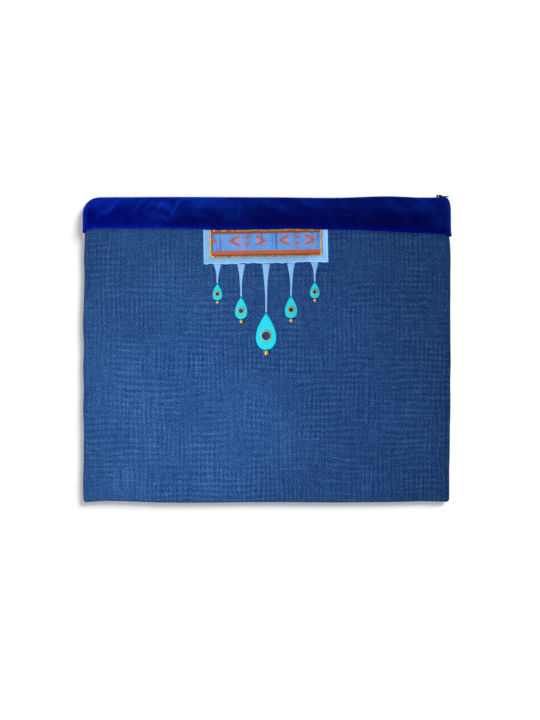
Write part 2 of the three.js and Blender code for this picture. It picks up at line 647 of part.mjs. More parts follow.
function topCord() {
  const half = WINDOW.half - CORD_DIAMETER - GAP;
  const places = evenly(PANEL_SHIFT - half, PANEL_SHIFT + half, 6)
    .map((x) => [x, cuffEdge(x) - GAP - CORD_DIAMETER / 2]);
  return meshOf("gold_cord_top", cordAlong(places, TOP_CORD_STEPS), "gold");
}

// One drop's places down the front, from the panel's lower edge.
function dropPlaces({ across, hanger, width, length, hole, bead }) {
  const size = (share) => share * PANEL_WIDTH;
  const [x, top] = onPanel(size(across), 0);
  const tip = top - GAP - size(hanger);
  const centre = tip - GAP - size(length) * HOLE_PLACE;
  const foot = tip - GAP - size(length);
  const sizes = { width: size(width), length: size(length), hole: size(hole), bead: size(bead) };
  return { x, top: top - GAP, tip, centre, foot, ...sizes };
}

const reachRound = (x, low, high, half) => ({ x: [x - half, x + half], y: [low - GAP, high + GAP] });

// A hanger narrows from the panel to its tip in two hollow curves.
function hangerOf(drop) {
  const { x, top, tip } = dropPlaces(drop);
  const halfAt = (down) => lerp(HANGER_TIP, HANGER_TOP, (1 - down) ** HANGER_HOLLOW) / 2;
  const downs = evenly(0, 1, HANGER_STEPS);
  const side = (sign) => downs.map((down) => [x + sign * halfAt(down), lerp(top, tip, down)]);
  const plan = prism([...side(-1), ...side(1).reverse()], ...FLOOR_TO_TOP);
  const layer = clothLayer(plan, GAP, HANGER_THICKNESS, reachRound(x, tip, top, HANGER_TOP), DROP_CELLS);
  return meshOf(`hanger_${drop.name}`, layer, "satin");
}

// A drop is pointed above and round below, with a hole in its round part.
function dropOf(drop) {
  const { x, tip, foot, centre, width, length, hole } = dropPlaces(drop);
  const outline = evenly(0, 2 * Math.PI, OUTLINE_STEPS).slice(1).map((turn) => [
    x + (width / 2) * DROP_FULLNESS * Math.sin(turn) * Math.sin(turn / 2),
    tip - GAP - (length / 2) * (1 - Math.cos(turn)),
  ]);
  const ring = circle(hole / 2, HOLE_STEPS).map(([across, up]) => [x + across, centre + up]);
  const plan = prism(outline.reverse(), ...FLOOR_TO_TOP).subtract(prism(ring, ...FLOOR_TO_TOP));
  const layer = clothLayer(plan, GAP, DROP_THICKNESS, reachRound(x, foot, tip, width), DROP_CELLS);
  return meshOf(`drop_${drop.name}`, layer, "turquoise");
}

// A ring of gold cord couched round the drop's hole.
function ringOf(drop) {
  const { x, centre, hole } = dropPlaces(drop);
  const radius = (hole + RING_WIRE) / 2;
  const wire = circle(RING_WIRE / 2, RING_SIDES).map(([out, up]) => new THREE.Vector2(radius + out, up));
  const geometry = new THREE.LatheGeometry([wire.at(-1).clone(), ...wire], RING_STEPS);
  geometry.rotateX(Math.PI / 2);
  geometry.translate(x, centre, clothTop(x, centre) + 2 * GAP + DROP_THICKNESS + RING_WIRE / 2);
  return meshOf(`ring_${drop.name}`, solidOfGeometry(geometry), "gold");
}

// A drilled bead sewn below the drop, its bore along the zip's direction.
function beadOf(drop) {
  const { x, foot, bead } = dropPlaces(drop);
  const radius = bead / 2;
  const from = Math.acos(BEAD_BORE / bead);
  const round = evenly(-from, from, BEAD_ROWS)
    .map((turn) => new THREE.Vector2(radius * Math.cos(turn), radius * Math.sin(turn)));
  const geometry = new THREE.LatheGeometry([...round, round[0].clone()], BEAD_STEPS);
  geometry.rotateZ(Math.PI / 2);
  const y = foot - GAP - radius;
  geometry.translate(x, y, clothTop(x, y) + GAP + radius);
  return meshOf(`bead_${drop.name}`, solidOfGeometry(geometry), "gold");
}

function assemble() {
  const bag = new THREE.Group();
  bag.add(...bodyPanels(), ...cuffBands());
  bag.add(zipTape("zip_tape_front", 1), zipTape("zip_tape_back", -1));
  bag.add(zipChain(), zipStop(), zipSlider(), zipPull());
  bag.add(panelBorder(), wovenRibbon(), sideCord(), topCord());
  DROPS.forEach((drop) => bag.add(hangerOf(drop), dropOf(drop), ringOf(drop), beadOf(drop)));
  return bag;
}

// The part's origin is on the surface that the bag lies on, under the middle of its whole extent.
const bag = assemble();
const extent = new THREE.Box3().setFromObject(bag, true);
const middle = extent.getCenter(new THREE.Vector3());
bag.position.set(-middle.x, -middle.y, -extent.min.z);

export default bag;
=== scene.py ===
"""A tallit bag that lies on its back: a flat zipped pouch of coarse blue cloth, with a velvet
cuff round its mouth and a sewn panel with five hanging drops on its front."""

import json
import math
from types import SimpleNamespace

import bmesh
import bpy
import numpy as np
from bpy.props import FloatProperty, FloatVectorProperty, IntProperty, PointerProperty
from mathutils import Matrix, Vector

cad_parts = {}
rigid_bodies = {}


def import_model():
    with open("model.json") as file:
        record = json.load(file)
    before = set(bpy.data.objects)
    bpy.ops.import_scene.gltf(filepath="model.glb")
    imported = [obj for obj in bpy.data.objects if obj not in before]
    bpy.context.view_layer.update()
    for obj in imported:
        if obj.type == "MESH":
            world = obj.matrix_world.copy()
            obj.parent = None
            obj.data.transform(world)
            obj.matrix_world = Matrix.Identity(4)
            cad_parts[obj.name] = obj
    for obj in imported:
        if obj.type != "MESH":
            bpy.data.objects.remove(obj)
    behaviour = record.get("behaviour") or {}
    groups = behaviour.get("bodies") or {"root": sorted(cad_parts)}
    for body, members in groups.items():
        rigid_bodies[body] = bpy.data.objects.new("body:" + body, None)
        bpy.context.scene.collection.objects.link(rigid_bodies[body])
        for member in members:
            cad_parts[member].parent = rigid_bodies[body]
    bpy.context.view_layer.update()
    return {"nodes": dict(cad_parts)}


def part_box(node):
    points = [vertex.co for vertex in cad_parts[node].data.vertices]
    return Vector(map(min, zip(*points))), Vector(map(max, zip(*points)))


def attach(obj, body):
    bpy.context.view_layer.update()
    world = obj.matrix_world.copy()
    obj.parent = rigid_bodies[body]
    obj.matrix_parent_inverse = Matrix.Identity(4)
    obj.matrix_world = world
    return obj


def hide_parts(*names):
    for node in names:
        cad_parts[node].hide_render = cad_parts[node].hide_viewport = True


bl_info = {
    "name": "Tallit Bag",
    "version": (1, 0, 0),
    "blender": (4, 5, 0),
    "location": "View3D > Sidebar > Tallit Bag",
    "description": "Builds a zipped cloth bag with a velvet cuff, a sewn panel and hanging drops",
    "category": "Add Mesh",
}

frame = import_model()
BAG = "bag"
PULL = "pull"
MM = 0.001
TURN = 2 * math.pi


def table(columns, *rows):
    """A short table: a record for each row, with a name for each column."""
    return [dict(zip(columns.split(), row)) for row in rows]


# Side seams: up is a share of the bag's length, left and right of half the body's width.
SIDES = {
    "up": [0, 0.08, 0.17, 0.3, 0.42, 0.55, 0.7, 0.84, 0.9, 1],
    "left": [1.0025, 1.006, 1.001, 1.0045, 1.001, 1.005, 1.001, 0.997, 0.9955, 0.9955],
    "right": [0.998, 1.001, 1.003, 1.007, 1.007, 1.0075, 1.0075, 1.007, 0.997, 0.996],
}
# Bottom seam and crest: along is a share of half the width, the rest of the bag's length.
ENDS = {
    "along": [-1, -0.88, -0.5, 0, 0.35, 0.66, 0.86, 1],
    "bottom": [0, 0.004, -0.002, 0, -0.001, 0, 0.003, 0.001],
    "crest": [0, 0, 0.001, 0, -0.002, 0.003, -0.001, 0],
}
# The cuff's lower edge: along is a share of half the width, depth of the cuff's depth.
CUFF_EDGE = {
    "along": [-1, -0.975, -0.93, -0.5, -0.27, 0, 0.15, 0.35, 0.5, 0.62, 0.72, 0.85, 0.95, 1],
    "depth": [1.12, 1.03, 0.995, 0.995, 1.025, 1.01, 0.99,
              1.012, 1.042, 1.088, 1.115, 1.138, 1.165, 1.235],
}
# Soft dents in the front: places and reach as shares, depth as a share of the belly's rise.
DENTS = table(
    "across up reach depth",
    (0.62, 0.62, 0.12, 0.07),
    (-0.25, 0.16, 0.14, 0.05),
    (-0.62, 0.4, 0.1, 0.05),
    (0.35, 0.3, 0.11, 0.04),
)
# Creases in the cuff's front, in millimetres: place from the middle of the crest, sideways
# travel for each millimetre up, half length, half width and depth.
CREASES = table(
    "x down lean length width depth",
    (-152.6, 7.4, 0.9, 9, 3.4, 1.1),
    (-166.0, 17.0, 0.5, 9, 3.0, 0.5),
    (-126.5, 6.8, 0.6, 8, 2.0, 0.6),
    (-116.0, 8.0, 0.8, 6, 1.8, 0.45),
    (-105.9, 7.8, 0.6, 8, 2.0, 0.6),
    (-90.3, 9.5, 0.5, 11, 2.2, 0.8),
    (-96.1, 21.5, -0.8, 10, 2.4, 0.6),
    (-68.0, 7.0, 0.7, 7, 2.4, 0.4),
    (-44.0, 24.0, 0.4, 8, 2.6, 0.4),
    (-28.7, 15.6, 0.1, 14, 1.8, 0.7),
    (15.4, 6.8, 0.4, 7, 2.2, 0.45),
    (64.3, 12.7, -0.7, 9, 3.4, 0.6),
    (82.0, 13.5, 0.9, 6, 2.6, 0.35),
    (128.0, 18.0, -0.5, 9, 4.0, 0.3),
    (169.0, 20.0, -0.3, 11, 4.0, 0.6),
)
# The drops: place and sizes as shares of the panel's width.
DROPS = table(
    "name across hanger width length hole bead",
    ("far_left", -0.39, 0.15, 0.078, 0.135, 0.026, 0.028),
    ("left", -0.2, 0.26, 0.1, 0.18, 0.034, 0.033),
    ("middle", 0, 0.39, 0.165, 0.3, 0.066, 0.043),
    ("right", 0.2, 0.26, 0.1, 0.18, 0.034, 0.033),
    ("far_right", 0.39, 0.15, 0.078, 0.135, 0.026, 0.028),
)
# The cuff's hem, in millimetres: rise from its lower edge, and how far it stands out of the cloth.
HEM = [(1.7, 0.45), (0.7, 0.4), (0.12, 0.75), (0.0, 1.25), (0.25, 1.8), (0.8, 2.15), (1.6, 2.3)]
# The lip along the zip: millimetres below the crest, and the share of the way in to the zip.
LIP_TURN = [(0, 0), (0.1, 0.45), (0.45, 0.85), (1.2, 1), (3.2, 1)]
HOLE_PLACE = 0.62  # middle of the hole, as a share of the drop's length from its point
DROP_FULLNESS = 0.75 * math.sqrt(3)  # makes the drop's curve one wide at its widest
HANGER_HOLLOW = 2.6  # 1 narrows a hanger evenly, more narrows it sooner
HALF_GAP = 0.15 * MM  # half the gap between the front and the back where they are sewn together
PUCKER = 0.16 * MM  # depth of the small folds that the stitches draw along the seams
PUCKER_REACH = 0.006
LIP_LEAST = 0.4 * MM  # least thickness of the velvet at the lip
ROLL_STEPS = 9  # points across a rolled edge
FACE_ROWS, LIP_ROWS, INNER_ROWS = 26, 6, 9  # rows of points up the cuff
CORD_LAY = 0.0026  # length of one turn of the gold cords' plies
RING_LAY = 0.0022
PLIES = 2
PLY_STEPS = 10  # points along one turn of a ply
PLY_OFFSET, PLY_RADIUS = 0.24, 0.27  # shares of a cord's diameter
WIRE_SIDES = 6
COIL_STEPS = 10  # points along one turn of the zip's coil
RIBBON_INSET = 0.25 * MM  # from the border's inner edge to the ribbon
BARE_METAL = (0.1, 0.1, 0.095, 1)  # the metal's brighter scratches
SEWN_LIFT = 0.6  # a sewn piece's underside above the cloth, as a share of the gap

# The photograph's measures: its size in pixels, the pixel under the bag's bottom middle, metres a pixel
PHOTO_WIDTH, PHOTO_HEIGHT = 540, 720
BAG_PIXEL = (266.7, 502.2)
PIXEL = 0.000978
CAMERA_HEIGHT = 1.8
FLOOR_REACH = 6.0
LAMPS = table(
    "name lights place size power",
    ("Floor light", "floor", (3.0, 3.2, 3.4), 2.9, 400),
    ("Floor fill", "floor", (-0.6, -0.6, 3.6), 1.5, 46),
    ("Bag light", "bag", (-0.11, -0.11, 0.31), 0.19, 0.82),
    ("Bag top light", "bag", (-0.15, 0.75, 0.5), 0.3, 1.2),
)


def length(name, description, default):
    """A size in metres."""
    return FloatProperty(name=name, description=description, default=default,
                         unit="LENGTH", precision=5)


def linear(value):
    """The linear value of a screen value of 0 to 255."""
    share = value / 255
    return ((share + 0.055) / 1.055) ** 2.4 if value > 10 else share / 12.92


def colour(name, description, red, green, blue):
    """A colour from its screen values of 0 to 255."""
    tint = (linear(red), linear(green), linear(blue), 1)
    return FloatVectorProperty(name=name, description=description, default=tint, size=4,
                               subtype="COLOR", min=0, max=1)


class BagSizes(bpy.types.PropertyGroup):
    """Sizes of the cloth body."""
    width: length("Width", "Side seam to side seam", 0.357)
    length: length("Length", "Bottom seam to the cuff's crest", 0.298)
    cloth: length("Cloth", "Thickness of the cloth", 0.0011)
    seam: length("Seam height", "Side seams above the floor", 0.0048)
    side_rise: length("Side rise", "Front above the seams, beside them", 0.0055)
    belly_rise: length("Belly rise", "Front above the seams, in the middle", 0.009)
    roll: length("Roll", "Width of the rounded edge along the seams", 0.013)
    corner: length("Corner", "Rounding of the bottom corners", 0.003)
    yarn: length("Yarn pitch", "Distance from one yarn to the next", 0.00122)


class CuffSizes(bpy.types.PropertyGroup):
    """Sizes of the velvet cuff."""
    depth: length("Depth", "Crest to lower edge", 0.0312)
    proud: length("Proud", "Cuff's outer face above the body cloth", 0.0023)
    velvet: length("Velvet", "Thickness of the folded velvet", 0.0015)
    roll: length("Roll", "Width of the rounded edge at the cuff's ends", 0.007)
    tuck: length("Tuck", "Body cloth that runs up under the cuff", 0.008)
    settle: length("Settle", "Length over which the body rises to the cuff", 0.03)
    fade: length("Fade", "Length over which the mouth swells to the belly", 0.022)
    left_corner: length("Left corner", "Rounding of the left end, across", 0.016)
    left_drop: length("Left corner drop", "Rounding of the left end, down", 0.016)
    right_corner: length("Right corner", "Rounding of the right end, across", 0.005)
    right_drop: length("Right corner drop", "Rounding of the right end, down", 0.012)
    lip: length("Lip", "Rounding of the lips along the zip", 0.003)
    slot: length("Slot", "Half the opening between the lips", 0.0026)


class ZipSizes(bpy.types.PropertyGroup):
    """Sizes of the zip."""
    wire: length("Wire", "Radius of the coil's wire", 0.00032)
    pitch: length("Pitch", "Distance from one turn to the next", 0.0013)
    tape: length("Tape", "Thickness of the tapes", 0.0006)
    bridge: length("Bridge", "Thickness of the slider's bridge", 0.0008)
    bridge_span: length("Bridge span", "Length of the slider's bridge", 0.0056)
    bridge_opening: length("Bridge opening", "Height of the opening under the bridge", 0.0018)
    bridge_leg: length("Bridge leg", "What the bridge's legs are thicker than its roof", 0.0009)


class PanelSizes(bpy.types.PropertyGroup):
    """Sizes of the sewn panel."""
    width: length("Width", "Outer width of the border", 0.1215)
    depth: length("Depth", "Panel seen below the cuff", 0.0335)
    shift: length("Shift", "Panel's middle to the right of the bag's", -0.0005)
    tilt: FloatProperty(name="Tilt", description="Turn of the panel", default=math.radians(1.1),
                        subtype="ANGLE")
    border: length("Border", "Width of the plain border", 0.007)
    satin: length("Satin", "Height of the border", 0.001)
    ribbon: length("Ribbon", "Height of the ribbon", 0.0008)
    cord: length("Cord", "Diameter of the gold cord", 0.0018)
    cord_end: length("Cord end", "From the side cords' ends to the cuff", 0.0003)
    hem: length("Hem", "Width of the fold along the border's outer edge", 0.0021)
    gap: length("Gap", "Between pieces that are sewn together", 0.0003)
    figure_repeat: length("Figure repeat", "Length of the ribbon's figures", 0.0484)
    figure_shift: length("Figure shift", "First arrows to the left of the panel's middle", 0.018)
    thread: length("Thread", "Pitch of the ribbon's threads", 0.00042)


class DropSizes(bpy.types.PropertyGroup):
    """Sizes of the hanging drops."""
    hanger_top: length("Hanger top", "Width of a hanger at the panel", 0.008)
    hanger_tip: length("Hanger tip", "Width of a hanger at its drop", 0.0017)
    hanger: length("Hanger", "Thickness of a hanger", 0.0008)
    cloth: length("Drop", "Thickness of a drop", 0.0012)
    wire: length("Ring", "Thickness of the ring's cord", 0.0013)
    bore: length("Bore", "Hole through a bead", 0.001)


class BagColours(bpy.types.PropertyGroup):
    """Colours of the bag."""
    cloth_light: colour("Cloth, warp", "Lighter yarns of the body cloth", 95, 160, 226)
    cloth_dark: colour("Cloth, weft", "Darker yarns of the body cloth", 2, 42, 112)
    velvet: colour("Velvet", "Velvet seen along its pile", 1, 8, 102)
    # The lit velvet is the colour of the painted sheen and highlights on the cuff, and of its lighter
    # brushed pile
    velvet_lit: colour("Velvet, brushed", "Velvet brushed against its pile", 16, 66, 222)
    # Colour of the painted highlight along the velvet's hem
    velvet_hem: colour("Velvet, hem", "Velvet that glows along the hem", 0, 14, 186)
    satin: colour("Satin", "Border and hangers", 142, 201, 255)
    ribbon: colour("Ribbon", "Ground of the woven ribbon", 98, 172, 250)
    lilac: colour("Ribbon, lilac", "Faded patches of the ribbon's ground", 186, 152, 220)
    streak: colour("Ribbon, streaks", "Darker threads of the ribbon's ground", 44, 96, 206)
    rust: colour("Rust", "Figures and stripes of the ribbon", 206, 100, 52)
    turquoise: colour("Turquoise", "Drops", 8, 232, 255)
    gold: colour("Gold", "Cords, rings and beads", 255, 218, 124)
    # The shaded gold is the painted shade on the gold thread's flanks; the beads' dull spots and the
    # ribbon's foot use it as a plain colour
    brown: colour("Gold, shaded", "Core of the gold cord", 208, 120, 38)
    wear_and_sheen: colour("Gold, worn", "Core that shows where the gold thread is worn", 104, 58, 26)
    navy: colour("Navy", "Zip", 22, 30, 74)
    metal: colour("Metal", "Slider and pull", 30, 35, 36)


class BagSettings(bpy.types.PropertyGroup):
    """All the settings of the bag."""
    bag: PointerProperty(type=BagSizes)
    cuff: PointerProperty(type=CuffSizes)
    zip: PointerProperty(type=ZipSizes)
    panel: PointerProperty(type=PanelSizes)
    drop: PointerProperty(type=DropSizes)
    colours: PointerProperty(type=BagColours)
    seed: IntProperty(name="Seed", description="Changes the small unevenness", default=4)


def settings():
    """The bag's settings in this scene."""
    return bpy.context.scene.tallit_bag


# Form of the bag, in metres, with y from the bottom seam and the same rules as the CAD solids


def origin_x():
    """The bag's middle in the frame, found from the CAD middle drop."""
    low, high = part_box("drop_middle")
    return (low.x + high.x) / 2 - settings().panel.shift


def origin_y():
    """The bottom seam's place in the frame, found from the CAD front panel's top edge."""
    top = settings().bag.length - settings().cuff.depth + settings().cuff.tuck
    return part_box("front_panel")[1].y - top


def smooth(value, low, high):
    """0 below low and 1 above high, eased between."""
    share = np.clip((value - low) / (high - low), 0, 1)
    return share * share * (3 - 2 * share)


def read(places, key, column, at):
    """A table's column at places along its key column, eased from row to row."""
    keys, values = np.array(places[key], float), np.array(places[column], float)
    after = np.clip(np.searchsorted(keys, at), 1, len(keys) - 1)
    share = smooth(at, keys[after - 1], keys[after])
    return values[after - 1] + (values[after] - values[after - 1]) * share


def rolled(inset, reach):
    """0 on an edge and 1 from reach inwards, with a quarter of an ellipse between."""
    return np.sqrt(1 - (1 - np.clip(inset / reach, 0, 1)) ** 2)


def corner_inset(from_end, across, down):
    """How far a rounded corner draws the outline in."""
    return across * (1 - np.sqrt(1 - np.clip(1 - from_end / down, 0, 1) ** 2))


def uneven(x, y, wavelength, seed, waves=9):
    """Soft random unevenness of one wavelength, with a spread of about 1."""
    rng = np.random.default_rng(settings().seed * 100 + seed)
    total = np.zeros(np.broadcast(x, y).shape)
    turns, phases = rng.uniform(0, TURN, waves), rng.uniform(0, TURN, waves)
    stretches = rng.uniform(0.7, 1.5, waves)
    for turn, phase, stretch in zip(turns, phases, stretches):
        along = x * math.cos(turn) + y * math.sin(turn)
        total += np.cos(TURN / (wavelength * stretch) * along + phase)
    return total / math.sqrt(waves / 2)


def seam_at(x, y):
    """Half the body's width at a height, on the side of x."""
    up = y / settings().bag.length
    share = np.where(x < 0, read(SIDES, "up", "left", up), read(SIDES, "up", "right", up))
    return settings().bag.width / 2 * share


def crest_of(out):
    """The crest of the form that lies out outside the body cloth."""
    return settings().bag.length - settings().cuff.proud + out


def half_width(x, y, out):
    """Half the width of the form that lies out outside the body cloth, on the side of x."""
    bag, cuff = settings().bag, settings().cuff
    across = np.where(x < 0, cuff.left_corner, cuff.right_corner)
    down = np.where(x < 0, cuff.left_drop, cuff.right_drop)
    top = corner_inset(crest_of(out) - y, across, down)
    return seam_at(x, y) + out - top - corner_inset(y + out, bag.corner, bag.corner)


def cuff_low():
    """The lowest point that the cuff's edge reaches."""
    return settings().bag.length - settings().cuff.depth * max(CUFF_EDGE["depth"]) - 0.3 * MM


def belly(x, y):
    """Height of the body cloth above the seams, away from the edges."""
    bag, cuff = settings().bag, settings().cuff
    across = np.clip(x / seam_at(x, y), -1, 1)
    along = np.clip(2 * y / bag.length - 1, -1, 1)
    rise = bag.side_rise + (bag.belly_rise - bag.side_rise) * (1 - across**2) * (1 - along**2)
    for dent in DENTS:
        away = (x - dent["across"] * bag.width / 2) ** 2 + (y - dent["up"] * bag.length) ** 2
        rise = rise - bag.belly_rise * dent["depth"] * np.exp(-away / (dent["reach"] * bag.length) ** 2)
    rise = rise + 0.22 * MM * uneven(x, y, 0.07, 1) + 0.07 * MM * uneven(x, y, 0.022, 2)
    mouth = bag.seam - cuff.proud
    return mouth + (rise - mouth) * smooth(crest_of(0) - y, 0, cuff.fade)


def heights(x, y, out):
    """Front and back heights of the form that lies out outside the body cloth."""
    bag, cuff = settings().bag, settings().cuff
    low = cuff_low()
    settle = smooth(y, low - cuff.settle, low)
    reach = bag.roll + (cuff.roll - bag.roll) * settle
    lip = 0.7 + 0.3 * rolled(crest_of(out) - y, cuff.lip)
    edge = rolled(half_width(x, y, out) - np.abs(x), reach) * rolled(y + out, reach) * lip
    return bag.seam + edge * (belly(x, y) + out), bag.seam - edge * (bag.seam - cuff.proud * settle + out)


def end_wave(x, y):
    """How far the bottom seam and the crest wander from straight."""
    bag, cuff = settings().bag, settings().cuff
    along = x / (bag.width / 2)
    crest = smooth(y, bag.length - 2 * cuff.depth, bag.length - cuff.depth / 2)
    bottom, top = read(ENDS, "along", "bottom", along), read(ENDS, "along", "crest", along)
    at_end = np.maximum(crest, 1 - smooth(y, 0, bag.roll * 2))
    return bag.length * (bottom + (top - bottom) * crest) * at_end


def cloth_top(x, y):
    """The body cloth's front face, for pieces that are sewn to it."""
    return heights(x, y, 0)[0]


def cuff_edge(x):
    """The cuff's lower edge at x."""
    bag, cuff = settings().bag, settings().cuff
    along = x / (bag.width / 2 + cuff.proud)
    return bag.length - read(CUFF_EDGE, "along", "depth", along) * cuff.depth


def creased(x, y):
    """How deep the cuff's front is pressed in at a place."""
    crest = settings().bag.length
    total = np.zeros(np.broadcast(x, y).shape)
    for crease in CREASES:
        tilt = math.atan(crease["lean"])
        dx, dy = x - crease["x"] * MM, y - (crest - crease["down"] * MM)
        away = (dx * math.cos(tilt) - dy * math.sin(tilt)) / (crease["width"] * MM)
        along = (dx * math.sin(tilt) + dy * math.cos(tilt)) / (crease["length"] * MM)
        # A fold is a valley with a lower ridge on one side of it
        shape = np.exp(-(away**2)) - 0.55 * np.exp(-((away - 1.7) ** 2))
        total += crease["depth"] * MM * shape * np.exp(-(along**4))
    return total


# Meshes


def grid_faces(rows, columns, first=0, flip=False, wrap=False, ring=False):
    """Quads of a grid of points; wrap joins its last column to its first, and ring its last row."""
    row, column = np.arange(rows if ring else rows - 1), np.arange(columns if wrap else columns - 1)
    j, i = np.meshgrid(row, column, indexing="ij")
    this, after, right = j * columns, (j + 1) % rows * columns, (i + 1) % columns
    quads = np.stack([this + i, this + right, after + right, after + i], -1).reshape(-1, 4) + first
    return (quads[:, ::-1] if flip else quads).tolist()


def arc_lengths(points, axis):
    """Length along a grid's rows or columns, from its first point."""
    steps = np.linalg.norm(np.diff(points, axis=axis), axis=2)
    start = np.zeros_like(np.take(steps, [0], axis=axis))
    return np.concatenate([start, np.cumsum(steps, axis=axis)], axis=axis)


def flat_places(points):
    """Each point's place on the flat cloth: across from the middle column, up from the first row."""
    across = arc_lengths(points, 1)
    middle = slice(points.shape[1] // 2, points.shape[1] // 2 + 1)
    across = across - across[:, middle] + points[:, middle, 0]
    return np.stack([across, arc_lengths(points, 0)], -1)


def add_piece(name, points, faces, finish, places, node, body=BAG):
    """Makes a piece that stands for a CAD node, from points in the frame and places on the flat cloth."""
    mesh = bpy.data.meshes.new(name)
    mesh.from_pydata(np.asarray(points).reshape(-1, 3).tolist(), [], faces)
    if places is not None:
        corners = np.zeros(len(mesh.loops), int)
        mesh.loops.foreach_get("vertex_index", corners)
        layer = mesh.uv_layers.new(name="Flat Cloth")
        layer.data.foreach_set("uv", np.asarray(places, float).reshape(-1, 2)[corners].ravel())
    mesh.polygons.foreach_set("use_smooth", [True] * len(mesh.polygons))
    mesh.validate()
    mesh.update()
    piece = bpy.data.objects.new(name, mesh)
    bpy.context.scene.collection.objects.link(piece)
    mesh.materials.append(material(finish))
    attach(piece, body)
    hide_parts(node)
    return piece


def rim_faces(rows, columns, offset, flip):
    """Quads that join the edges of two equal grids, the second offset points after the first."""
    bottom = np.arange(columns)
    right = np.arange(rows) * columns + columns - 1
    top = (rows - 1) * columns + np.arange(columns)[::-1]
    left = (np.arange(rows) * columns)[::-1]
    loop = np.concatenate([bottom[:-1], right[:-1], top[:-1], left[:-1]])
    after = np.roll(loop, -1)
    quads = np.stack([loop, loop + offset, after + offset, after], -1)
    return (quads[:, ::-1] if flip else quads).tolist()


def sheet_mesh(points, thickness, flip=False):
    """A closed sheet from its outer grid of points, thickness deep, with places on the flat cloth."""
    across = np.gradient(points, axis=1)
    along = np.gradient(points, axis=0)
    normal = np.cross(across, along)
    normal /= np.linalg.norm(normal, axis=2, keepdims=True) + 1e-12
    inner = points - normal * thickness * (-1 if flip else 1)
    return closed_between(points, inner, flip)


def closed_between(outer, inner, flip=False):
    """A closed solid between two equal grids of points."""
    rows, columns = outer.shape[:2]
    count = rows * columns
    faces = grid_faces(rows, columns, 0, flip) + grid_faces(rows, columns, count, not flip)
    faces += rim_faces(rows, columns, count, flip)
    places = flat_places(outer).reshape(-1, 2)
    points = np.concatenate([outer.reshape(-1, 3), inner.reshape(-1, 3)])
    return points, faces, np.concatenate([places, places])


def roll_places(reach, steps):
    """Places across an edge that rolls over, evenly spaced round the roll."""
    return reach * (1 - np.cos(np.linspace(0, math.pi / 2, steps)))


def shares_across(half, reach, steps, middle):
    """Shares from -1 at the left edge to 1 at the right, closer over the rolled edges."""
    left = -1 + roll_places(reach, steps) / half
    return np.concatenate([left, np.linspace(left[-1], -left[-1], middle + 1)[1:-1], -left[::-1]])


def lengths_along(path):
    """Length along a path to each of its points."""
    return np.concatenate([[0], np.cumsum(np.linalg.norm(np.diff(path, axis=0), axis=1))])


def axes_along(path, closed):
    """Sideways and upward directions at each point of a path."""
    ahead = np.roll(path, -1, 0) - np.roll(path, 1, 0) if closed else np.gradient(path, axis=0)
    ahead /= np.linalg.norm(ahead, axis=1, keepdims=True)
    side = np.cross(ahead, [0, 0, 1.0])
    weak = np.linalg.norm(side, axis=1) < 0.2
    side[weak] = np.cross(ahead[weak], [0, 1.0, 0])
    side /= np.linalg.norm(side, axis=1, keepdims=True)
    return side, np.cross(side, ahead)


def tube(path, radius, sides, closed=False):
    """A tube along a path, with a flat face at each end, and its places round and along it."""
    side, up = axes_along(path, closed)
    turn = np.linspace(0, TURN, sides, endpoint=False)
    spokes = np.cos(turn)[:, None] * side[:, None] + np.sin(turn)[:, None] * up[:, None]
    rings = path[:, None] + radius * spokes
    faces = grid_faces(len(path), sides, flip=True, wrap=True, ring=closed)
    if not closed:
        last = (len(path) - 1) * sides
        faces += [list(range(sides)), list(range(last, last + sides))[::-1]]
    places = np.broadcast_arrays(turn[None] * radius, lengths_along(path)[:, None])
    return rings.reshape(-1, 3), faces, np.stack(places, -1).reshape(-1, 2)


def joined(parts):
    """Several meshes of points, faces and places as one."""
    points, faces, places, first = [], [], [], 0
    for some, quads, flat in parts:
        points.append(some)
        places.append(flat)
        faces += [[corner + first for corner in quad] for quad in quads]
        first += len(some)
    return np.concatenate(points), faces, np.concatenate(places)


def resampled(path, step):
    """A path with points at equal steps along it."""
    along = lengths_along(path)
    places = np.linspace(0, along[-1], max(int(along[-1] / step), 4) + 1)
    return np.stack([np.interp(places, along, path[:, k]) for k in range(3)], -1)


def twisted_cord(path, diameter, lay, closed=False):
    """A cord of plies twisted round each other; lay is the length of one turn."""
    path = resampled(path, lay / PLY_STEPS)
    if closed:
        path = path[:-1]
    side, up = axes_along(path, closed)
    # A closed cord has a whole number of turns
    turns = max(round(len(path) / PLY_STEPS), 1) / len(path) if closed else 1 / PLY_STEPS
    strands = []
    for ply in range(PLIES):
        turn = TURN * (np.arange(len(path)) * turns + ply / PLIES)[:, None]
        centre = path + diameter * PLY_OFFSET * (np.cos(turn) * side + np.sin(turn) * up)
        strands.append(tube(centre, diameter * PLY_RADIUS, WIRE_SIDES, closed))
    return joined(strands)


# Shader values and node groups


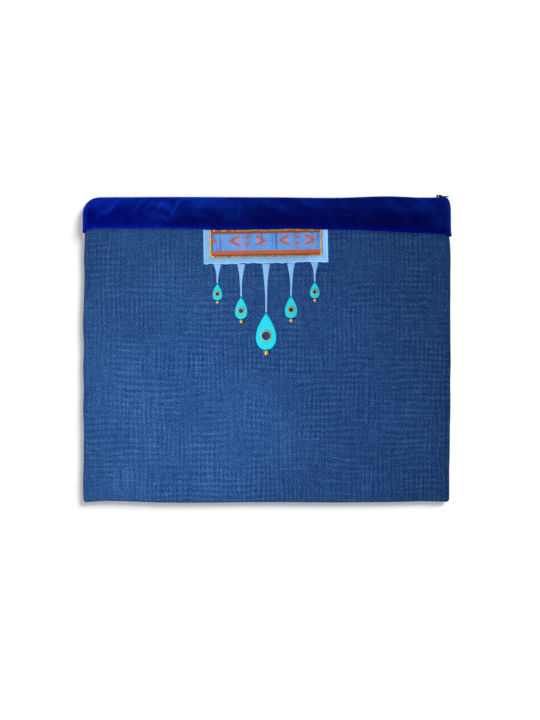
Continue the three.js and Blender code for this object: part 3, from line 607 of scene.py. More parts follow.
class Value:
    """A shader value. Reckoning with it adds Math nodes to its tree."""

    def __init__(self, tree, socket):
        self.tree = tree
        self.socket = socket

    def math(self, operation, *others, clamp=False):
        """The outcome of one Math node on this value and others."""
        node = self.tree.nodes.new("ShaderNodeMath")
        node.operation = operation
        node.use_clamp = clamp
        for entry, value in zip(node.inputs, (self, *others)):
            plug(self.tree, value, entry)
        return Value(self.tree, node.outputs[0])

    def __add__(self, other):
        return self.math("ADD", other)

    def __sub__(self, other):
        return self.math("SUBTRACT", other)

    def __rsub__(self, other):
        return self.math("MULTIPLY_ADD", -1, other)

    def __mul__(self, other):
        return self.math("MULTIPLY", other)

    def __truediv__(self, other):
        return self.math("DIVIDE", other)

    def __rtruediv__(self, other):
        return self.math("POWER", -1) * other

    def __lt__(self, other):
        return self.math("LESS_THAN", other)

    def __gt__(self, other):
        return self.math("GREATER_THAN", other)

    def __abs__(self):
        return self.math("ABSOLUTE")

    __radd__ = __add__
    __rmul__ = __mul__

    def highest(self, *others):
        """The largest of this value and others."""
        most = self
        for other in others:
            most = most.math("MAXIMUM", other)
        return most

    def smooth(self, low, high, start=0, end=1):
        """start below low and end above high, eased between."""
        node = self.tree.nodes.new("ShaderNodeMapRange")
        node.interpolation_type = "SMOOTHSTEP"
        for entry, value in zip(node.inputs, (self, low, high, start, end)):
            plug(self.tree, value, entry)
        return Value(self.tree, node.outputs[0])


def plug(tree, value, entry):
    """Links a value to an input, or sets the input to a constant."""
    if isinstance(value, Value):
        tree.links.new(value.socket, entry)
    else:
        entry.default_value = value


def combined(tree, x, y, z=0.0):
    """A vector of three values."""
    node = tree.nodes.new("ShaderNodeCombineXYZ")
    for entry, value in zip(node.inputs, (x, y, z)):
        plug(tree, value, entry)
    return Value(tree, node.outputs[0])


def separated(tree, vector):
    """A vector's first two values."""
    node = tree.nodes.new("ShaderNodeSeparateXYZ")
    plug(tree, vector, node.inputs[0])
    return Value(tree, node.outputs[0]), Value(tree, node.outputs[1])


def noise(tree, vector, scale, detail=2.0, roughness=0.5):
    """A noise of 0 to 1 over a vector."""
    node = tree.nodes.new("ShaderNodeTexNoise")
    plug(tree, vector, node.inputs["Vector"])
    plug(tree, scale, node.inputs["Scale"])
    node.inputs["Detail"].default_value = detail
    node.inputs["Roughness"].default_value = roughness
    return Value(tree, node.outputs["Fac"])


def mixed(tree, share, a, b):
    """A colour between two others."""
    node = tree.nodes.new("ShaderNodeMix")
    node.data_type = "RGBA"
    plug(tree, share, node.inputs["Factor"])
    for value, entry in ((a, node.inputs[6]), (b, node.inputs[7])):
        plug(tree, value, entry)
    return Value(tree, node.outputs[2])


def group(name):
    """A node group of the table below, made once."""
    tree = bpy.data.node_groups.get(name)
    if tree:
        return tree
    fill, inputs, outputs = GROUPS[name]
    tree = bpy.data.node_groups.new(name, "ShaderNodeTree")
    for label, default in inputs.items():
        kind = "NodeSocketVector" if default is None else "NodeSocketFloat"
        socket = tree.interface.new_socket(label, in_out="INPUT", socket_type=kind)
        if default is not None:
            socket.default_value = default
    for label in outputs:
        tree.interface.new_socket(label, in_out="OUTPUT", socket_type="NodeSocketFloat")
    entry = tree.nodes.new("NodeGroupInput")
    leave = tree.nodes.new("NodeGroupOutput")
    made = fill(tree, *(Value(tree, socket) for socket in entry.outputs[: len(inputs)]))
    for value, socket in zip(made, leave.inputs):
        tree.links.new(value.socket, socket)
    arrange(tree)
    return tree


def arrange(tree):
    """Lays a tree's nodes out in columns, from the outputs back to the inputs."""
    depth = {node.name: 0 for node in tree.nodes}
    for _ in range(len(tree.nodes)):
        moved = False
        for link in tree.links:
            if depth[link.from_node.name] < depth[link.to_node.name] + 1:
                depth[link.from_node.name] = depth[link.to_node.name] + 1
                moved = True
        if not moved:
            break
    filled = {}
    for node in tree.nodes:
        column = depth[node.name]
        node.location = (-220 * column, -190 * filled.get(column, 0))
        filled[column] = filled.get(column, 0) + 1


def plain_weave(tree, place, pitch, lean, drift):
    """Two sets of yarns that cross over and under each other, both a little uneven."""
    x, y = separated(tree, place)
    slow = noise(tree, place, 45.0, 2.0)
    other = noise(tree, combined(tree, y + 3.1, x), 45.0, 2.0)
    kink = noise(tree, combined(tree, x + 1.7, y), 380.0, 1.0)
    u = x / pitch + (slow - 0.5) * drift + (kink - 0.5) * 0.8
    v = y / pitch + (other - 0.5) * drift
    turn = lean + (noise(tree, combined(tree, x + 7.7, y), 11.0, 1.0) - 0.5) * 1.7
    turn = turn.math("MINIMUM", 1).math("MAXIMUM", -1)
    falling = ((u + v) * math.pi).math("COSINE")
    rising = ((u - v) * math.pi).math("COSINE")
    crossing = (falling * (turn + 1) + rising * (1 - turn)) * 0.5
    over = crossing.smooth(-0.1, 0.6)
    tone_u = noise(tree, combined(tree, u * 0.75, v * 0.03), 1.0, 1.0)
    tone_v = noise(tree, combined(tree, u * 0.03, v * 0.62, 5.0), 1.0, 1.0)
    spot = noise(tree, combined(tree, u * 0.8, v * 0.8, 9.0), 1.0, 0.0)
    tone = (tone_v + (tone_u - tone_v) * over) * 0.55 + spot * 0.45
    round_u = (u * TURN).math("COSINE")
    round_v = (v * TURN).math("COSINE")
    body = round_v + (round_u - round_v) * over
    height = abs(crossing).math("POWER", 0.6) * (body * 0.25 + 0.75)
    return over, tone, height


def yarn_bands(tree, place, across, along, wander):
    """Wavy bands of thicker and thinner yarns, both ways, stronger in some patches; 0 on average."""
    x, y = separated(tree, place)
    bands = []
    for number, (one, other, step) in enumerate(((x, y, across), (y, x, along))):
        shifted = combined(tree, one + 2.3 * number, other * 0.6, 4.0 * number)
        phase = one / step + (noise(tree, shifted, 26.0, 2.0) - 0.5) * wander
        patches = combined(tree, one * 0.7 + 9.1, other, 3.0 * number)
        strength = noise(tree, patches, 24.0, 2.0).smooth(0.36, 0.62)
        bands.append((phase * TURN).math("COSINE") * strength)
    return [bands[0] * 0.5 + bands[1] * 0.5]


def velvet_pile(tree, place, grain):
    """Short pile: fine grain, and patches that are brushed one way or the other."""
    x, y = separated(tree, place)
    fine = noise(tree, place, 1.0 / grain, 2.0, 0.7)
    strokes = noise(tree, combined(tree, x + y * 0.6, y * 0.45 - x * 0.2), 60.0, 3.0, 0.6)
    patches = noise(tree, place, 22.0, 2.0)
    brushed = (strokes * 0.6 + patches * 0.6).smooth(0.5, 0.85)
    return fine, brushed


def soft_mottle(tree, place, size):
    """Slow unevenness of tone and fine fibre noise."""
    slow = noise(tree, place, 1.0 / size, 2.0)
    fibre = noise(tree, place, 9.0 / size, 2.0, 0.7)
    return slow, fibre


def scuffs(tree, place, size):
    """Fine scratches and dull spots."""
    x, y = separated(tree, place)
    long = noise(tree, combined(tree, x * 0.12, y), 6.0 / size, 2.0)
    spots = noise(tree, place, 2.0 / size, 3.0, 0.6)
    return long.smooth(0.45, 0.75), spots.smooth(0.4, 0.75)


def figured_ribbon(tree, place, repeat, height, thread):
    """A row of chevrons, arrows and dots between two stripes, all drawn in whole threads."""
    x, y = separated(tree, place)
    x = (x / thread).math("FLOOR") * thread
    y = (y / thread).math("FLOOR") * thread
    side = abs((x / repeat + 0.5).math("FRACT") * repeat - repeat * 0.5)
    up = abs(y - height * 0.565)
    # A chevron's arms run in from its tip
    arm = abs(side + up * 1.9 - repeat * 0.35) < thread * 5.4
    arm = arm * (side > repeat * 0.15) * (up < height * 0.19)
    heart = abs(side - repeat * 0.31) < repeat * 0.04 - up * 0.5
    # A pair of arrows point at each other between the chevrons
    stem = (side < thread * 1.7) * (abs(up - height * 0.19) < height * 0.14)
    barb = (abs(side - up + height * 0.05) < thread * 2.2) * (abs(up - height * 0.11) < height * 0.06)
    # Dots stand where one repeat meets the next
    from_joint = abs(side - repeat * 0.5)
    dot = (from_joint < thread * 2.2) * (up < thread * 2.2)
    outer = (abs(up - height * 0.115) < thread * 1.4) * (from_joint < thread * 1.4)
    figure = arm.highest(heart, stem, barb, dot, outer)
    stripe = abs(y - height * 0.515) > height * 0.315
    # Lilac fades in round the arrows and inside each chevron, most at the right
    from_spot = side - repeat * 0.2
    spot = (from_spot * from_spot + up * up).math("SQRT").smooth(0.0012, 0.0026, 1.0, 0.0)
    faded = noise(tree, combined(tree, x, y * 0.25), 90.0, 2.0).smooth(0.46, 0.66)
    faded = faded * side.smooth(repeat * 0.1, repeat * 0.2, 1.0, 0.3) * x.smooth(-0.028, 0.03, 0.5, 1.2)
    # Darker threads stand close together at the left
    streaks = noise(tree, combined(tree, x * 3.0, y * 0.16, 3.0), 90.0, 1.0)
    streaks = (streaks + x.smooth(-0.021, -0.009, 0.15, 0.015)).smooth(0.58, 0.7)
    return figure, stripe, faded.highest(spot), streaks


def thread_twist(tree, place, lay):
    """Painted highlight and shade on the flanks of the filaments in a twisted metallic thread, and painted
    glints.
    """
    x, y = separated(tree, place)
    wave = ((x * 1.3 + y) / lay * TURN).math("SINE") * 0.5 + 0.5
    glint = noise(tree, combined(tree, x * 1.0, y * 0.6), 1400.0, 2.0)
    return wave, glint


# What fills each node group, its inputs (None is a vector's) and its outputs
GROUPS = {
    "Plain Weave": (plain_weave, {"Place": None, "Pitch": 0.0012, "Lean": 0.3, "Drift": 1.0},
                    ["Over", "Tone", "Height"]),
    "Yarn Bands": (yarn_bands, {"Place": None, "Across": 0.0044, "Along": 0.0058, "Wander": 2.2},
                   ["Bands"]),
    "Velvet Pile": (velvet_pile, {"Place": None, "Grain": 0.0006}, ["Grain", "Brushed"]),
    "Soft Mottle": (soft_mottle, {"Place": None, "Size": 0.02}, ["Slow", "Fibre"]),
    "Scuffs": (scuffs, {"Place": None, "Size": 0.004}, ["Scratches", "Spots"]),
    "Figured Ribbon": (figured_ribbon, {"Place": None, "Repeat": 0.048, "Height": 0.027, "Thread": 0.0004},
                       ["Figure", "Stripe", "Patches", "Streaks"]),
    "Thread Twist": (thread_twist, {"Place": None, "Lay": 0.0006}, ["Wave", "Glint"]),
}


class Finish:
    """A material with one Principled shader, and short calls to fill it."""

    def __init__(self, name, roughness, metallic=0.0, **constants):
        self.material = bpy.data.materials.new(name)
        self.material.use_nodes = True
        self.tree = self.material.node_tree
        self.shader = self.tree.nodes["Principled BSDF"]
        self.set("Metallic", metallic)
        self.set("Roughness", roughness)
        for label, value in constants.items():
            self.set(label.replace("_", " "), value)

    def set(self, label, value):
        """Sets or links one of the shader's inputs."""
        plug(self.tree, value, self.shader.inputs[label])

    def flat_cloth(self):
        """The piece's places on its flat cloth, in metres."""
        node = self.tree.nodes.new("ShaderNodeUVMap")
        node.uv_map = "Flat Cloth"
        return Value(self.tree, node.outputs[0])

    def in_space(self):
        """Places in the piece's own space, in metres."""
        node = self.tree.nodes.new("ShaderNodeTexCoord")
        return Value(self.tree, node.outputs["Object"])

    def slope(self):
        """0 where the surface lies flat and 1 where it stands upright."""
        node = self.tree.nodes.new("ShaderNodeNewGeometry")
        split = self.tree.nodes.new("ShaderNodeSeparateXYZ")
        self.tree.links.new(node.outputs["Normal"], split.inputs[0])
        return (1 - abs(Value(self.tree, split.outputs["Z"]))).highest(0)

    def effect(self, name, **inputs):
        """Places a node group with its own values, and gives its outputs."""
        node = self.tree.nodes.new("ShaderNodeGroup")
        node.node_tree = group(name)
        for label, value in inputs.items():
            plug(self.tree, value, node.inputs[label])
        return [Value(self.tree, socket) for socket in node.outputs]

    def between(self, share, a, b):
        """A colour between two others."""
        return mixed(self.tree, share, a, b)

    def shaded(self, tint, factor):
        """A colour made lighter or darker by a factor."""
        node = self.tree.nodes.new("ShaderNodeVectorMath")
        node.operation = "SCALE"
        plug(self.tree, tint if isinstance(tint, Value) else tint[:3], node.inputs[0])
        plug(self.tree, factor, node.inputs["Scale"])
        return Value(self.tree, node.outputs[0])

    def bump(self, height, distance, strength=1.0):
        """Raises the surface by a height of 0 to 1 times a distance in metres."""
        node = self.tree.nodes.new("ShaderNodeBump")
        node.inputs["Strength"].default_value = strength
        node.inputs["Distance"].default_value = distance
        plug(self.tree, height, node.inputs["Height"])
        self.set("Normal", Value(self.tree, node.outputs[0]))

    def done(self):
        """The finished material, its nodes laid out."""
        arrange(self.tree)
        return self.material


def palette():
    """The bag's colours as plain tuples."""
    tones = settings().colours
    return SimpleNamespace(**{key: tuple(getattr(tones, key)) for key in tones.__annotations__})


def cloth_finish(title):
    """Coarse cloth of light warp and dark weft."""
    tone = palette()
    finish = Finish(title, 0.88, Specular_IOR_Level=0.15)
    place = finish.flat_cloth()
    across, _ = separated(finish.tree, place)
    over, yarn, height = finish.effect("Plain Weave", Place=place, Pitch=settings().bag.yarn,
                                       Lean=across * -1.6 + 0.3, Drift=1.6)
    slow, fibre = finish.effect("Soft Mottle", Place=place, Size=0.06)
    (band,) = finish.effect("Yarn Bands", Place=place, Across=0.0044, Along=0.0058, Wander=2.2)
    share = over * 0.68 + (yarn - 0.5) * 1.2 + band * 0.2 + (fibre - 0.5) * 0.45
    tint = finish.between(share.math("ADD", -0.06, clamp=True), tone.cloth_dark, tone.cloth_light)
    finish.set("Base Color", finish.shaded(tint, slow * 0.3 + 0.85))
    finish.bump(height, 0.25 * MM, 0.8)
    return finish.done()


def velvet_finish(title):
    """Deep blue velvet with a painted sheen that is lighter on its slopes, most at the bag's left."""
    tone = palette()
    finish = Finish(title, 0.8, Sheen_Weight=1.0, Sheen_Roughness=0.3,
                    Sheen_Tint=(0.03, 0.11, 1.0, 1.0), Specular_IOR_Level=0.03)
    place = finish.flat_cloth()
    grain, brushed = finish.effect("Velvet Pile", Place=place, Grain=0.0006)
    across, up = separated(finish.tree, place)
    # Painted sheen: the base colour is lighter where the surface slopes, with painted light falling off
    # from the bag's left
    turned = finish.slope().math("POWER", 0.5)
    from_left = across.smooth(-0.08, 0.1, 1.0, 0.45)
    lit = turned.smooth(0.06, 0.5) * turned.smooth(0.6, 0.95, 1.0, 0.35) * from_left
    # The painted sheen is weaker along the hem and at the cuff's left end
    lit = lit * up.smooth(0.003, 0.006, 0.4, 1.0) * across.smooth(-0.175, -0.168, 0.35, 1.0)
    # Painted highlight along the top strip, where the velvet rolls over to the zip
    wear_and_sheen = up.smooth(0.021, 0.027) * (brushed * 0.3 + 0.13)
    # Painted highlight on the velvet at the cuff's right end, below the zip's slider
    right_end_highlight = across.smooth(0.158, 0.17) * up.smooth(0.006, 0.014) * up.smooth(0.02, 0.026, 1.0, 0.3)
    share = lit * 0.7 + wear_and_sheen + right_end_highlight * 0.2 + (brushed - 0.3) * 0.16 + (grain - 0.5) * 0.3
    tint = finish.between(share.math("ADD", 0.03, clamp=True), tone.velvet, tone.velvet_lit)
    # Painted highlight along the hem's fold and at the cuff's left end
    low = up.smooth(0.001, 0.009, 0.6, 0.0) + across.smooth(-0.17, -0.1, 0.15, 0.0)
    tint = finish.between(low, tint, tone.velvet_hem)
    # Painted light and shade: lighter at the bag's left, darker from the middle to the right
    finish.set("Base Color", finish.shaded(tint, across.smooth(-0.14, -0.02, 1.18, 0.84)))
    finish.bump(grain, 0.15 * MM, 0.5)
    return finish.done()


def border_finish(title):
    """Light blue satin with a painted highlight along its turned hem."""
    return satin_finish(title, settings().panel.hem)


def satin_finish(title, hem=None):
    """Light blue satin with fine threads."""
    finish = Finish(title, 0.5, Sheen_Weight=0.3, Sheen_Roughness=0.4, Specular_IOR_Level=0.35)
    place = finish.flat_cloth()
    over, yarn, height = finish.effect("Plain Weave", Place=place, Pitch=0.00042, Lean=0.0, Drift=1.0)
    slow, fibre = finish.effect("Soft Mottle", Place=place, Size=0.008)
    shade = over * 0.1 + yarn * 0.16 + slow * 0.3 + 0.96
    if hem:
        along, inwards = separated(finish.tree, place)
        # Painted highlight along the turned hem with painted shade inside it, and painted light on the
        # border's right side
        shade = shade * inwards.smooth(hem * 0.9, hem * 1.2, 1.12, 0.92)
        shade = shade * along.smooth(0.03, 0.055, 1.0, 1.45)
    finish.set("Base Color", finish.shaded(palette().satin, shade))
    finish.set("Roughness", fibre * 0.2 + 0.42)
    finish.bump(height, 0.08 * MM, 0.7)
    return finish.done()


def ribbon_finish(title):
    """A woven ribbon with rust figures on a light blue ground."""
    tone, panel = palette(), settings().panel
    high = panel.depth - panel.border - RIBBON_INSET
    finish = Finish(title, 0.62, Sheen_Weight=0.2, Sheen_Roughness=0.4, Specular_IOR_Level=0.3)
    place = finish.flat_cloth()
    figure, stripe, patches, streaks = finish.effect(
        "Figured Ribbon", Place=place, Repeat=panel.figure_repeat, Height=high, Thread=panel.thread)
    over, yarn, height = finish.effect("Plain Weave", Place=place, Pitch=0.00042, Lean=0.0, Drift=0.4)
    slow, fibre = finish.effect("Soft Mottle", Place=place, Size=0.006)
    ground = finish.between(patches * 0.9, tone.ribbon, tone.lilac)
    ground = finish.between(streaks * 0.75, ground, tone.streak)
    rust = figure * 0.94 + stripe * 0.15 + stripe * (fibre - 0.5) * 0.3
    ground = finish.between(rust, ground, tone.rust)
    ground = finish.between(stripe * 0.95, ground, tone.rust)
    _, upwards = separated(finish.tree, place)
    ground = finish.between(upwards.smooth(high * 0.02, high * 0.12, 0.6, 0.0), ground, tone.brown)
    shade = over * 0.16 + yarn * 0.4 + fibre * 0.3 + slow * 0.3 + 0.64
    shade = shade * upwards.smooth(high * 0.8, high * 0.86, 1.0, 0.72)
    finish.set("Base Color", finish.shaded(ground, shade))
    finish.bump(height + figure * 1.4 + stripe, 0.07 * MM, 0.8)
    return finish.done()


def turquoise_finish(title):
    """Bright turquoise cloth with a fine weave."""
    finish = Finish(title, 0.55, Sheen_Weight=0.25, Sheen_Roughness=0.4, Specular_IOR_Level=0.35)
    place = finish.flat_cloth()
    over, yarn, height = finish.effect("Plain Weave", Place=place, Pitch=0.0004, Lean=0.0, Drift=0.8)
    slow, fibre = finish.effect("Soft Mottle", Place=place, Size=0.006)
    shade = over * 0.1 + yarn * 0.14 + slow * 0.16 + 0.9
    finish.set("Base Color", finish.shaded(palette().turquoise, shade))
    finish.set("Roughness", fibre * 0.2 + 0.45)
    finish.bump(height, 0.06 * MM, 0.7)
    return finish.done()


def sewn_cord_finish(title):
    """The gold cord round the ribbon, with more wear along the ribbon's stripes."""
    return gold_thread_finish(title, 0.07)


def gold_thread_finish(title, more_wear=0.0):
    """Twisted metallic thread, lighter at the panel's sides; more_wear is added away from them."""
    tone = palette()
    finish = Finish(title, 0.38, metallic=0.1)
    wave, glint = finish.effect("Thread Twist", Place=finish.flat_cloth(), Lay=0.0007)
    slow, fibre = finish.effect("Soft Mottle", Place=finish.in_space(), Size=0.005)
    from_middle = abs(separated(finish.tree, finish.in_space())[0])
    # Painted highlight and shade: the twist's flanks and glints mix the shaded gold into the gold
    share = (wave * 0.6 + glint * 0.9).math("ADD", 0.05, clamp=True)
    tint = finish.between(share, tone.brown, tone.gold)
    tint = finish.shaded(tint, from_middle.smooth(0.05, 0.0525, 1.0, 1.5))
    wear = slow * 0.4 + fibre * 0.6 + from_middle.smooth(0.05, 0.0525, more_wear, 0.0)
    wear_and_sheen = wear.smooth(0.52, 0.62)
    finish.set("Base Color", finish.between(wear_and_sheen * 0.8, tint, tone.wear_and_sheen))
    finish.set("Roughness", glint * 0.3 + 0.25)
    finish.bump(wave, 0.08 * MM, 0.8)
    return finish.done()


def gold_bead_finish(title):
    """Polished gold, dulled by handling."""
    tone = palette()
    finish = Finish(title, 0.3, metallic=0.6)
    scratches, spots = finish.effect("Scuffs", Place=finish.in_space(), Size=0.003)
    finish.set("Base Color", finish.between(spots * 0.45, tone.gold, tone.brown))
    finish.set("Roughness", scratches * 0.12 + spots * 0.2 + 0.25)
    finish.bump(spots, 0.03 * MM, 0.5)
    return finish.done()


def dark_metal_finish(title):
    """Dark plated metal with brighter scratches."""
    tone = palette()
    finish = Finish(title, 0.35, metallic=1.0)
    scratches, spots = finish.effect("Scuffs", Place=finish.in_space(), Size=0.004)
    finish.set("Base Color", finish.between(scratches * 0.5, tone.metal, BARE_METAL))
    finish.set("Roughness", spots * 0.25 + 0.26)
    finish.bump(spots, 0.04 * MM, 0.4)
    return finish.done()


def zip_tape_finish(title):
    """Navy tape with a ribbed weave."""
    finish = Finish(title, 0.85, Specular_IOR_Level=0.2)
    over, yarn, height = finish.effect("Plain Weave", Place=finish.flat_cloth(), Pitch=0.0005,
                                       Lean=0.6, Drift=0.3)
    finish.set("Base Color", finish.shaded(palette().navy, over * 0.5 + yarn * 0.4 + 0.55))
    finish.bump(height, 0.1 * MM, 0.9)
    return finish.done()


def zip_chain_finish(title):
    """Navy nylon wire."""
    finish = Finish(title, 0.35, Specular_IOR_Level=0.5)
    slow, fibre = finish.effect("Soft Mottle", Place=finish.in_space(), Size=0.01)
    finish.set("Base Color", finish.shaded(palette().navy, slow * 0.5 + 0.8))
    finish.set("Roughness", fibre * 0.2 + 0.28)
    return finish.done()


def floor_finish(title):
    """Pale matt floor."""
    finish = Finish(title, 0.9, Specular_IOR_Level=0.0)
    finish.set("Base Color", (0.9, 0.9, 0.9, 1))
    return finish.done()


# Each finish's material, and what makes it
FINISHES = {
    "cloth": ("Coarse cloth", cloth_finish),
    "velvet": ("Blue velvet", velvet_finish),
    "satin": ("Light blue satin", satin_finish),
    "border": ("Hemmed satin", border_finish),
    "ribbon": ("Figured ribbon", ribbon_finish),
    "turquoise": ("Turquoise cloth", turquoise_finish),
    "gold_thread": ("Gold cord", gold_thread_finish),
    "sewn_cord": ("Sewn gold cord", sewn_cord_finish),
    "gold_bead": ("Polished gold", gold_bead_finish),
    "dark_metal": ("Dark plated metal", dark_metal_finish),
    "zip_tape": ("Navy tape", zip_tape_finish),
    "zip_chain": ("Navy nylon", zip_chain_finish),
    "floor": ("Pale floor", floor_finish),
}


def material(name):
    """The material of a finish, made once."""
    title, make = FINISHES[name]
    return bpy.data.materials.get(title) or make(title)


# Pieces


def to_frame(x, y, z):
    """Points from the bag's own places, with y from the bottom seam, in the frame."""
    x, y, z = np.broadcast_arrays(x, y, z)
    return np.stack([x + origin_x(), y + origin_y(), z], -1)


def puckers(x, y, from_side):
    """Small folds that the stitches draw in along the side seams and the bottom seam."""
    beside = np.exp(-from_side / PUCKER_REACH) * np.sin(y / 0.0045 + 2 * uneven(x, y, 0.05, 5))
    above = np.exp(-y / PUCKER_REACH) * np.sin(x / 0.005 + 2 * uneven(x, y, 0.05, 6))
    return PUCKER * (beside + above) * rolled(from_side, 0.004) * rolled(y, 0.004)


def body_sheet(front):
    """The front or back cloth, from its bottom seam to where it ends under the cuff."""
    bag, cuff = settings().bag, settings().cuff
    top = bag.length - cuff.depth + cuff.tuck
    rows = np.concatenate([roll_places(bag.roll, ROLL_STEPS), np.linspace(bag.roll, top, 118)[1:]])
    share = shares_across(bag.width / 2, bag.roll, ROLL_STEPS, 150)[None]
    y = rows[:, None]
    x = share * half_width(share, y, 0)
    high, low = heights(x, y, 0)
    if front:
        from_side = half_width(x, y, 0) - np.abs(x)
        z = np.maximum(high + puckers(x, y, from_side), bag.seam + HALF_GAP)
    else:
        z = np.minimum(low, bag.seam - HALF_GAP)
    wobble = 0.25 * MM * uneven(0 * share + np.sign(share), y, 0.03, 3) * share * np.abs(share) ** 8
    return to_frame(x + wobble, y + end_wave(x, y), z)


class BAG_OT_body(bpy.types.Operator):
    """Makes the front and back cloth"""
    bl_idname = "tallit_bag.body"
    bl_label = "Cloth body"

    def execute(self, context):
        bag = settings().bag
        for side in ("front", "back"):
            front = side == "front"
            points, faces, places = sheet_mesh(body_sheet(front), bag.cloth, flip=not front)
            piece = add_piece(side + "_cloth", points, faces, "cloth", places, side + "_panel")
        return {"FINISHED"}


def zip_ends():
    """The zip's slot, from its first tooth to the slider's nose, in the bag's own x."""
    gap = settings().panel.gap
    start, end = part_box("zip_tape_front")[0].x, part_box("zip_slider")[1].x
    return start - gap - origin_x(), end + gap - origin_x()


def slot_half(x):
    """Half the opening between the lips at x: closed beyond the zip's ends, wider at the slider."""
    start, end = zip_ends()
    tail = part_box("zip_slider")[0].x - origin_x()
    opened = smooth(x, start - 0.002, start + 0.004) * (1 - smooth(x, end - 0.0005, end + 0.003))
    slider = smooth(x, tail - 0.004, tail - 0.0003) * opened
    return HALF_GAP + (settings().cuff.slot - HALF_GAP) * opened + 1.0 * MM * slider


def cuff_profile(edge, crest):
    """Places up the cuff's outer face, from its hem to its lip, and how far each stands out."""
    cuff = settings().cuff
    start, stop = edge + HEM[-1][0] * MM, crest - cuff.lip
    lip = cuff.lip * (1 - np.cos(np.linspace(math.pi / 2, 0, LIP_ROWS)))
    places = [(edge + rise * MM, out * MM) for rise, out in HEM]
    places += [(start + (stop - start) * k / FACE_ROWS, cuff.proud) for k in range(1, FACE_ROWS)]
    return places + [(np.full_like(edge, crest - down), cuff.proud) for down in lip]


def cuff_front(x, y, out, edge):
    """Height of the cuff's front face, with its creases, its sunk hem and its ledge along the zip."""
    bag, cuff = settings().bag, settings().cuff
    crest = crest_of(cuff.proud)
    level = rolled(half_width(x, y, out) - np.abs(x), cuff.roll)
    away = smooth(y, edge, edge + 0.006) * smooth(crest - y, 0, 0.003)
    z = heights(x, y, out)[0] - creased(x, y) * level * away
    z = z + level * 0.12 * MM * uneven(x, y, 0.016, 8) * smooth(y, edge, edge + 0.004)
    # The velvet is pulled in along the zip and stands up again behind it, most at the left
    at_left = 0.35 + 0.65 * (1 - smooth(x, -0.1, 0.12))
    ledge = 0.0075 + 0.0012 * uneven(x, 0 * y, 0.03, 9)
    step = smooth(crest - y, 0, ledge) * at_left * 1.1 * MM
    droop = np.exp(-(y - edge) / 0.0026) * at_left * 0.9 * MM
    return np.maximum(z + (step - droop) * level, bag.seam + HALF_GAP)


def cuff_sections(front):
    """Closed sections through the folded velvet, one for each place along the zip."""
    bag, cuff = settings().bag, settings().cuff
    share = shares_across(bag.width / 2, cuff.roll, ROLL_STEPS, 200)
    crest = crest_of(cuff.proud)
    edge = cuff_edge(share * (bag.width / 2 + cuff.proud))
    stations = []
    for y, out in cuff_profile(edge, crest):
        x = share * half_width(share, y, out)
        z = cuff_front(x, y, out, edge) if front else np.minimum(heights(x, y, out)[1], bag.seam - HALF_GAP)
        stations.append((x, y + end_wave(x, y), z))
    # The lip turns in to the zip's slot
    x, y, z = stations.pop()
    sign = 1 if front else -1
    inside = bag.seam + sign * slot_half(x)
    z = np.where(sign * (z - inside) < LIP_LEAST, inside + sign * LIP_LEAST, z)
    stations += [(x, y - down * MM, z + (inside - z) * turned) for down, turned in LIP_TURN]
    # The inner face runs back down to the hem
    deep = max(cuff.proud - cuff.velvet, 0)
    top, foot = crest - cuff.lip - 1.5 * MM, edge + 1.9 * MM
    for k in range(INNER_ROWS):
        y = np.minimum(top + (foot - top) * k / (INNER_ROWS - 1), crest - 4 * MM)
        x = share * (half_width(share, y, deep) - 0.2 * MM)
        high, low = heights(x, y, deep)
        if front:
            z = np.maximum(high - 0.1 * MM, bag.seam + HALF_GAP)
        else:
            z = np.minimum(low + 0.1 * MM, bag.seam - HALF_GAP)
        stations.append((x, y + end_wave(x, y), z))
    return np.stack([to_frame(*station) for station in stations], 1)


def lofted(sections, flip=False):
    """A closed solid through closed sections, capped at both ends, with places on the flat cloth."""
    count, around = sections.shape[:2]
    faces = grid_faces(count, around, wrap=True, flip=not flip)
    first, last = list(range(around)), list(range((count - 1) * around, count * around))
    faces += [first[::-1], last] if flip else [first, last[::-1]]
    across = lengths_along(sections[:, around // 3])
    across = np.broadcast_to((across - across[-1] / 2)[:, None], (count, around))
    places = np.stack([across, arc_lengths(sections, 1)], -1)
    return sections.reshape(-1, 3), faces, places.reshape(-1, 2)


class BAG_OT_cuff(bpy.types.Operator):
    """Makes the velvet cuff, front and back"""
    bl_idname = "tallit_bag.cuff"
    bl_label = "Velvet cuff"

    def execute(self, context):
        for name in ("front_cuff", "back_cuff"):
            front = name == "front_cuff"
            points, faces, places = lofted(cuff_sections(front), flip=not front)
            piece = add_piece(name + "_velvet", points, faces, "velvet", places, name)
        return {"FINISHED"}


def zip_tape(node):
    """One tape, a little slack between its edges, in the box of its CAD solid."""
    low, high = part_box(node)
    x, z = np.meshgrid(np.linspace(low.x, high.x, 220), np.linspace(low.z, high.z, 7))
    slack = 0.12 * MM * (1 + 0.5 * uneven(x, z, 0.02, 11))
    sag = slack * np.sin((z - low.z) / (high.z - low.z) * math.pi)
    return sheet_mesh(np.stack([x, high.y - sag, z], -1), settings().zip.tape, flip=True)


def coil_half(side):
    """The half of the coil that is sewn to one tape; side is -1 below and 1 above."""
    size = settings().zip
    low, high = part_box("zip_chain")
    centre = (low + high) / 2
    long = high.x - low.x
    turned = np.arange(0, long / size.pitch * TURN, TURN / COIL_STEPS)
    angle = turned + (math.pi if side > 0 else 0)
    x = low.x + size.wire + turned / TURN * size.pitch * (1 - 2 * size.wire / long)
    y = centre.y + (high.y - low.y - 2 * size.wire) / 2 * np.sin(angle)
    z = centre.z + side * ((high.z - low.z) / 4 - 0.05 * MM) * (1 + 0.9 * np.cos(angle))
    z = np.clip(z, low.z + size.wire, high.z - size.wire)
    return tube(np.stack([x, y, z], -1), size.wire, WIRE_SIDES)


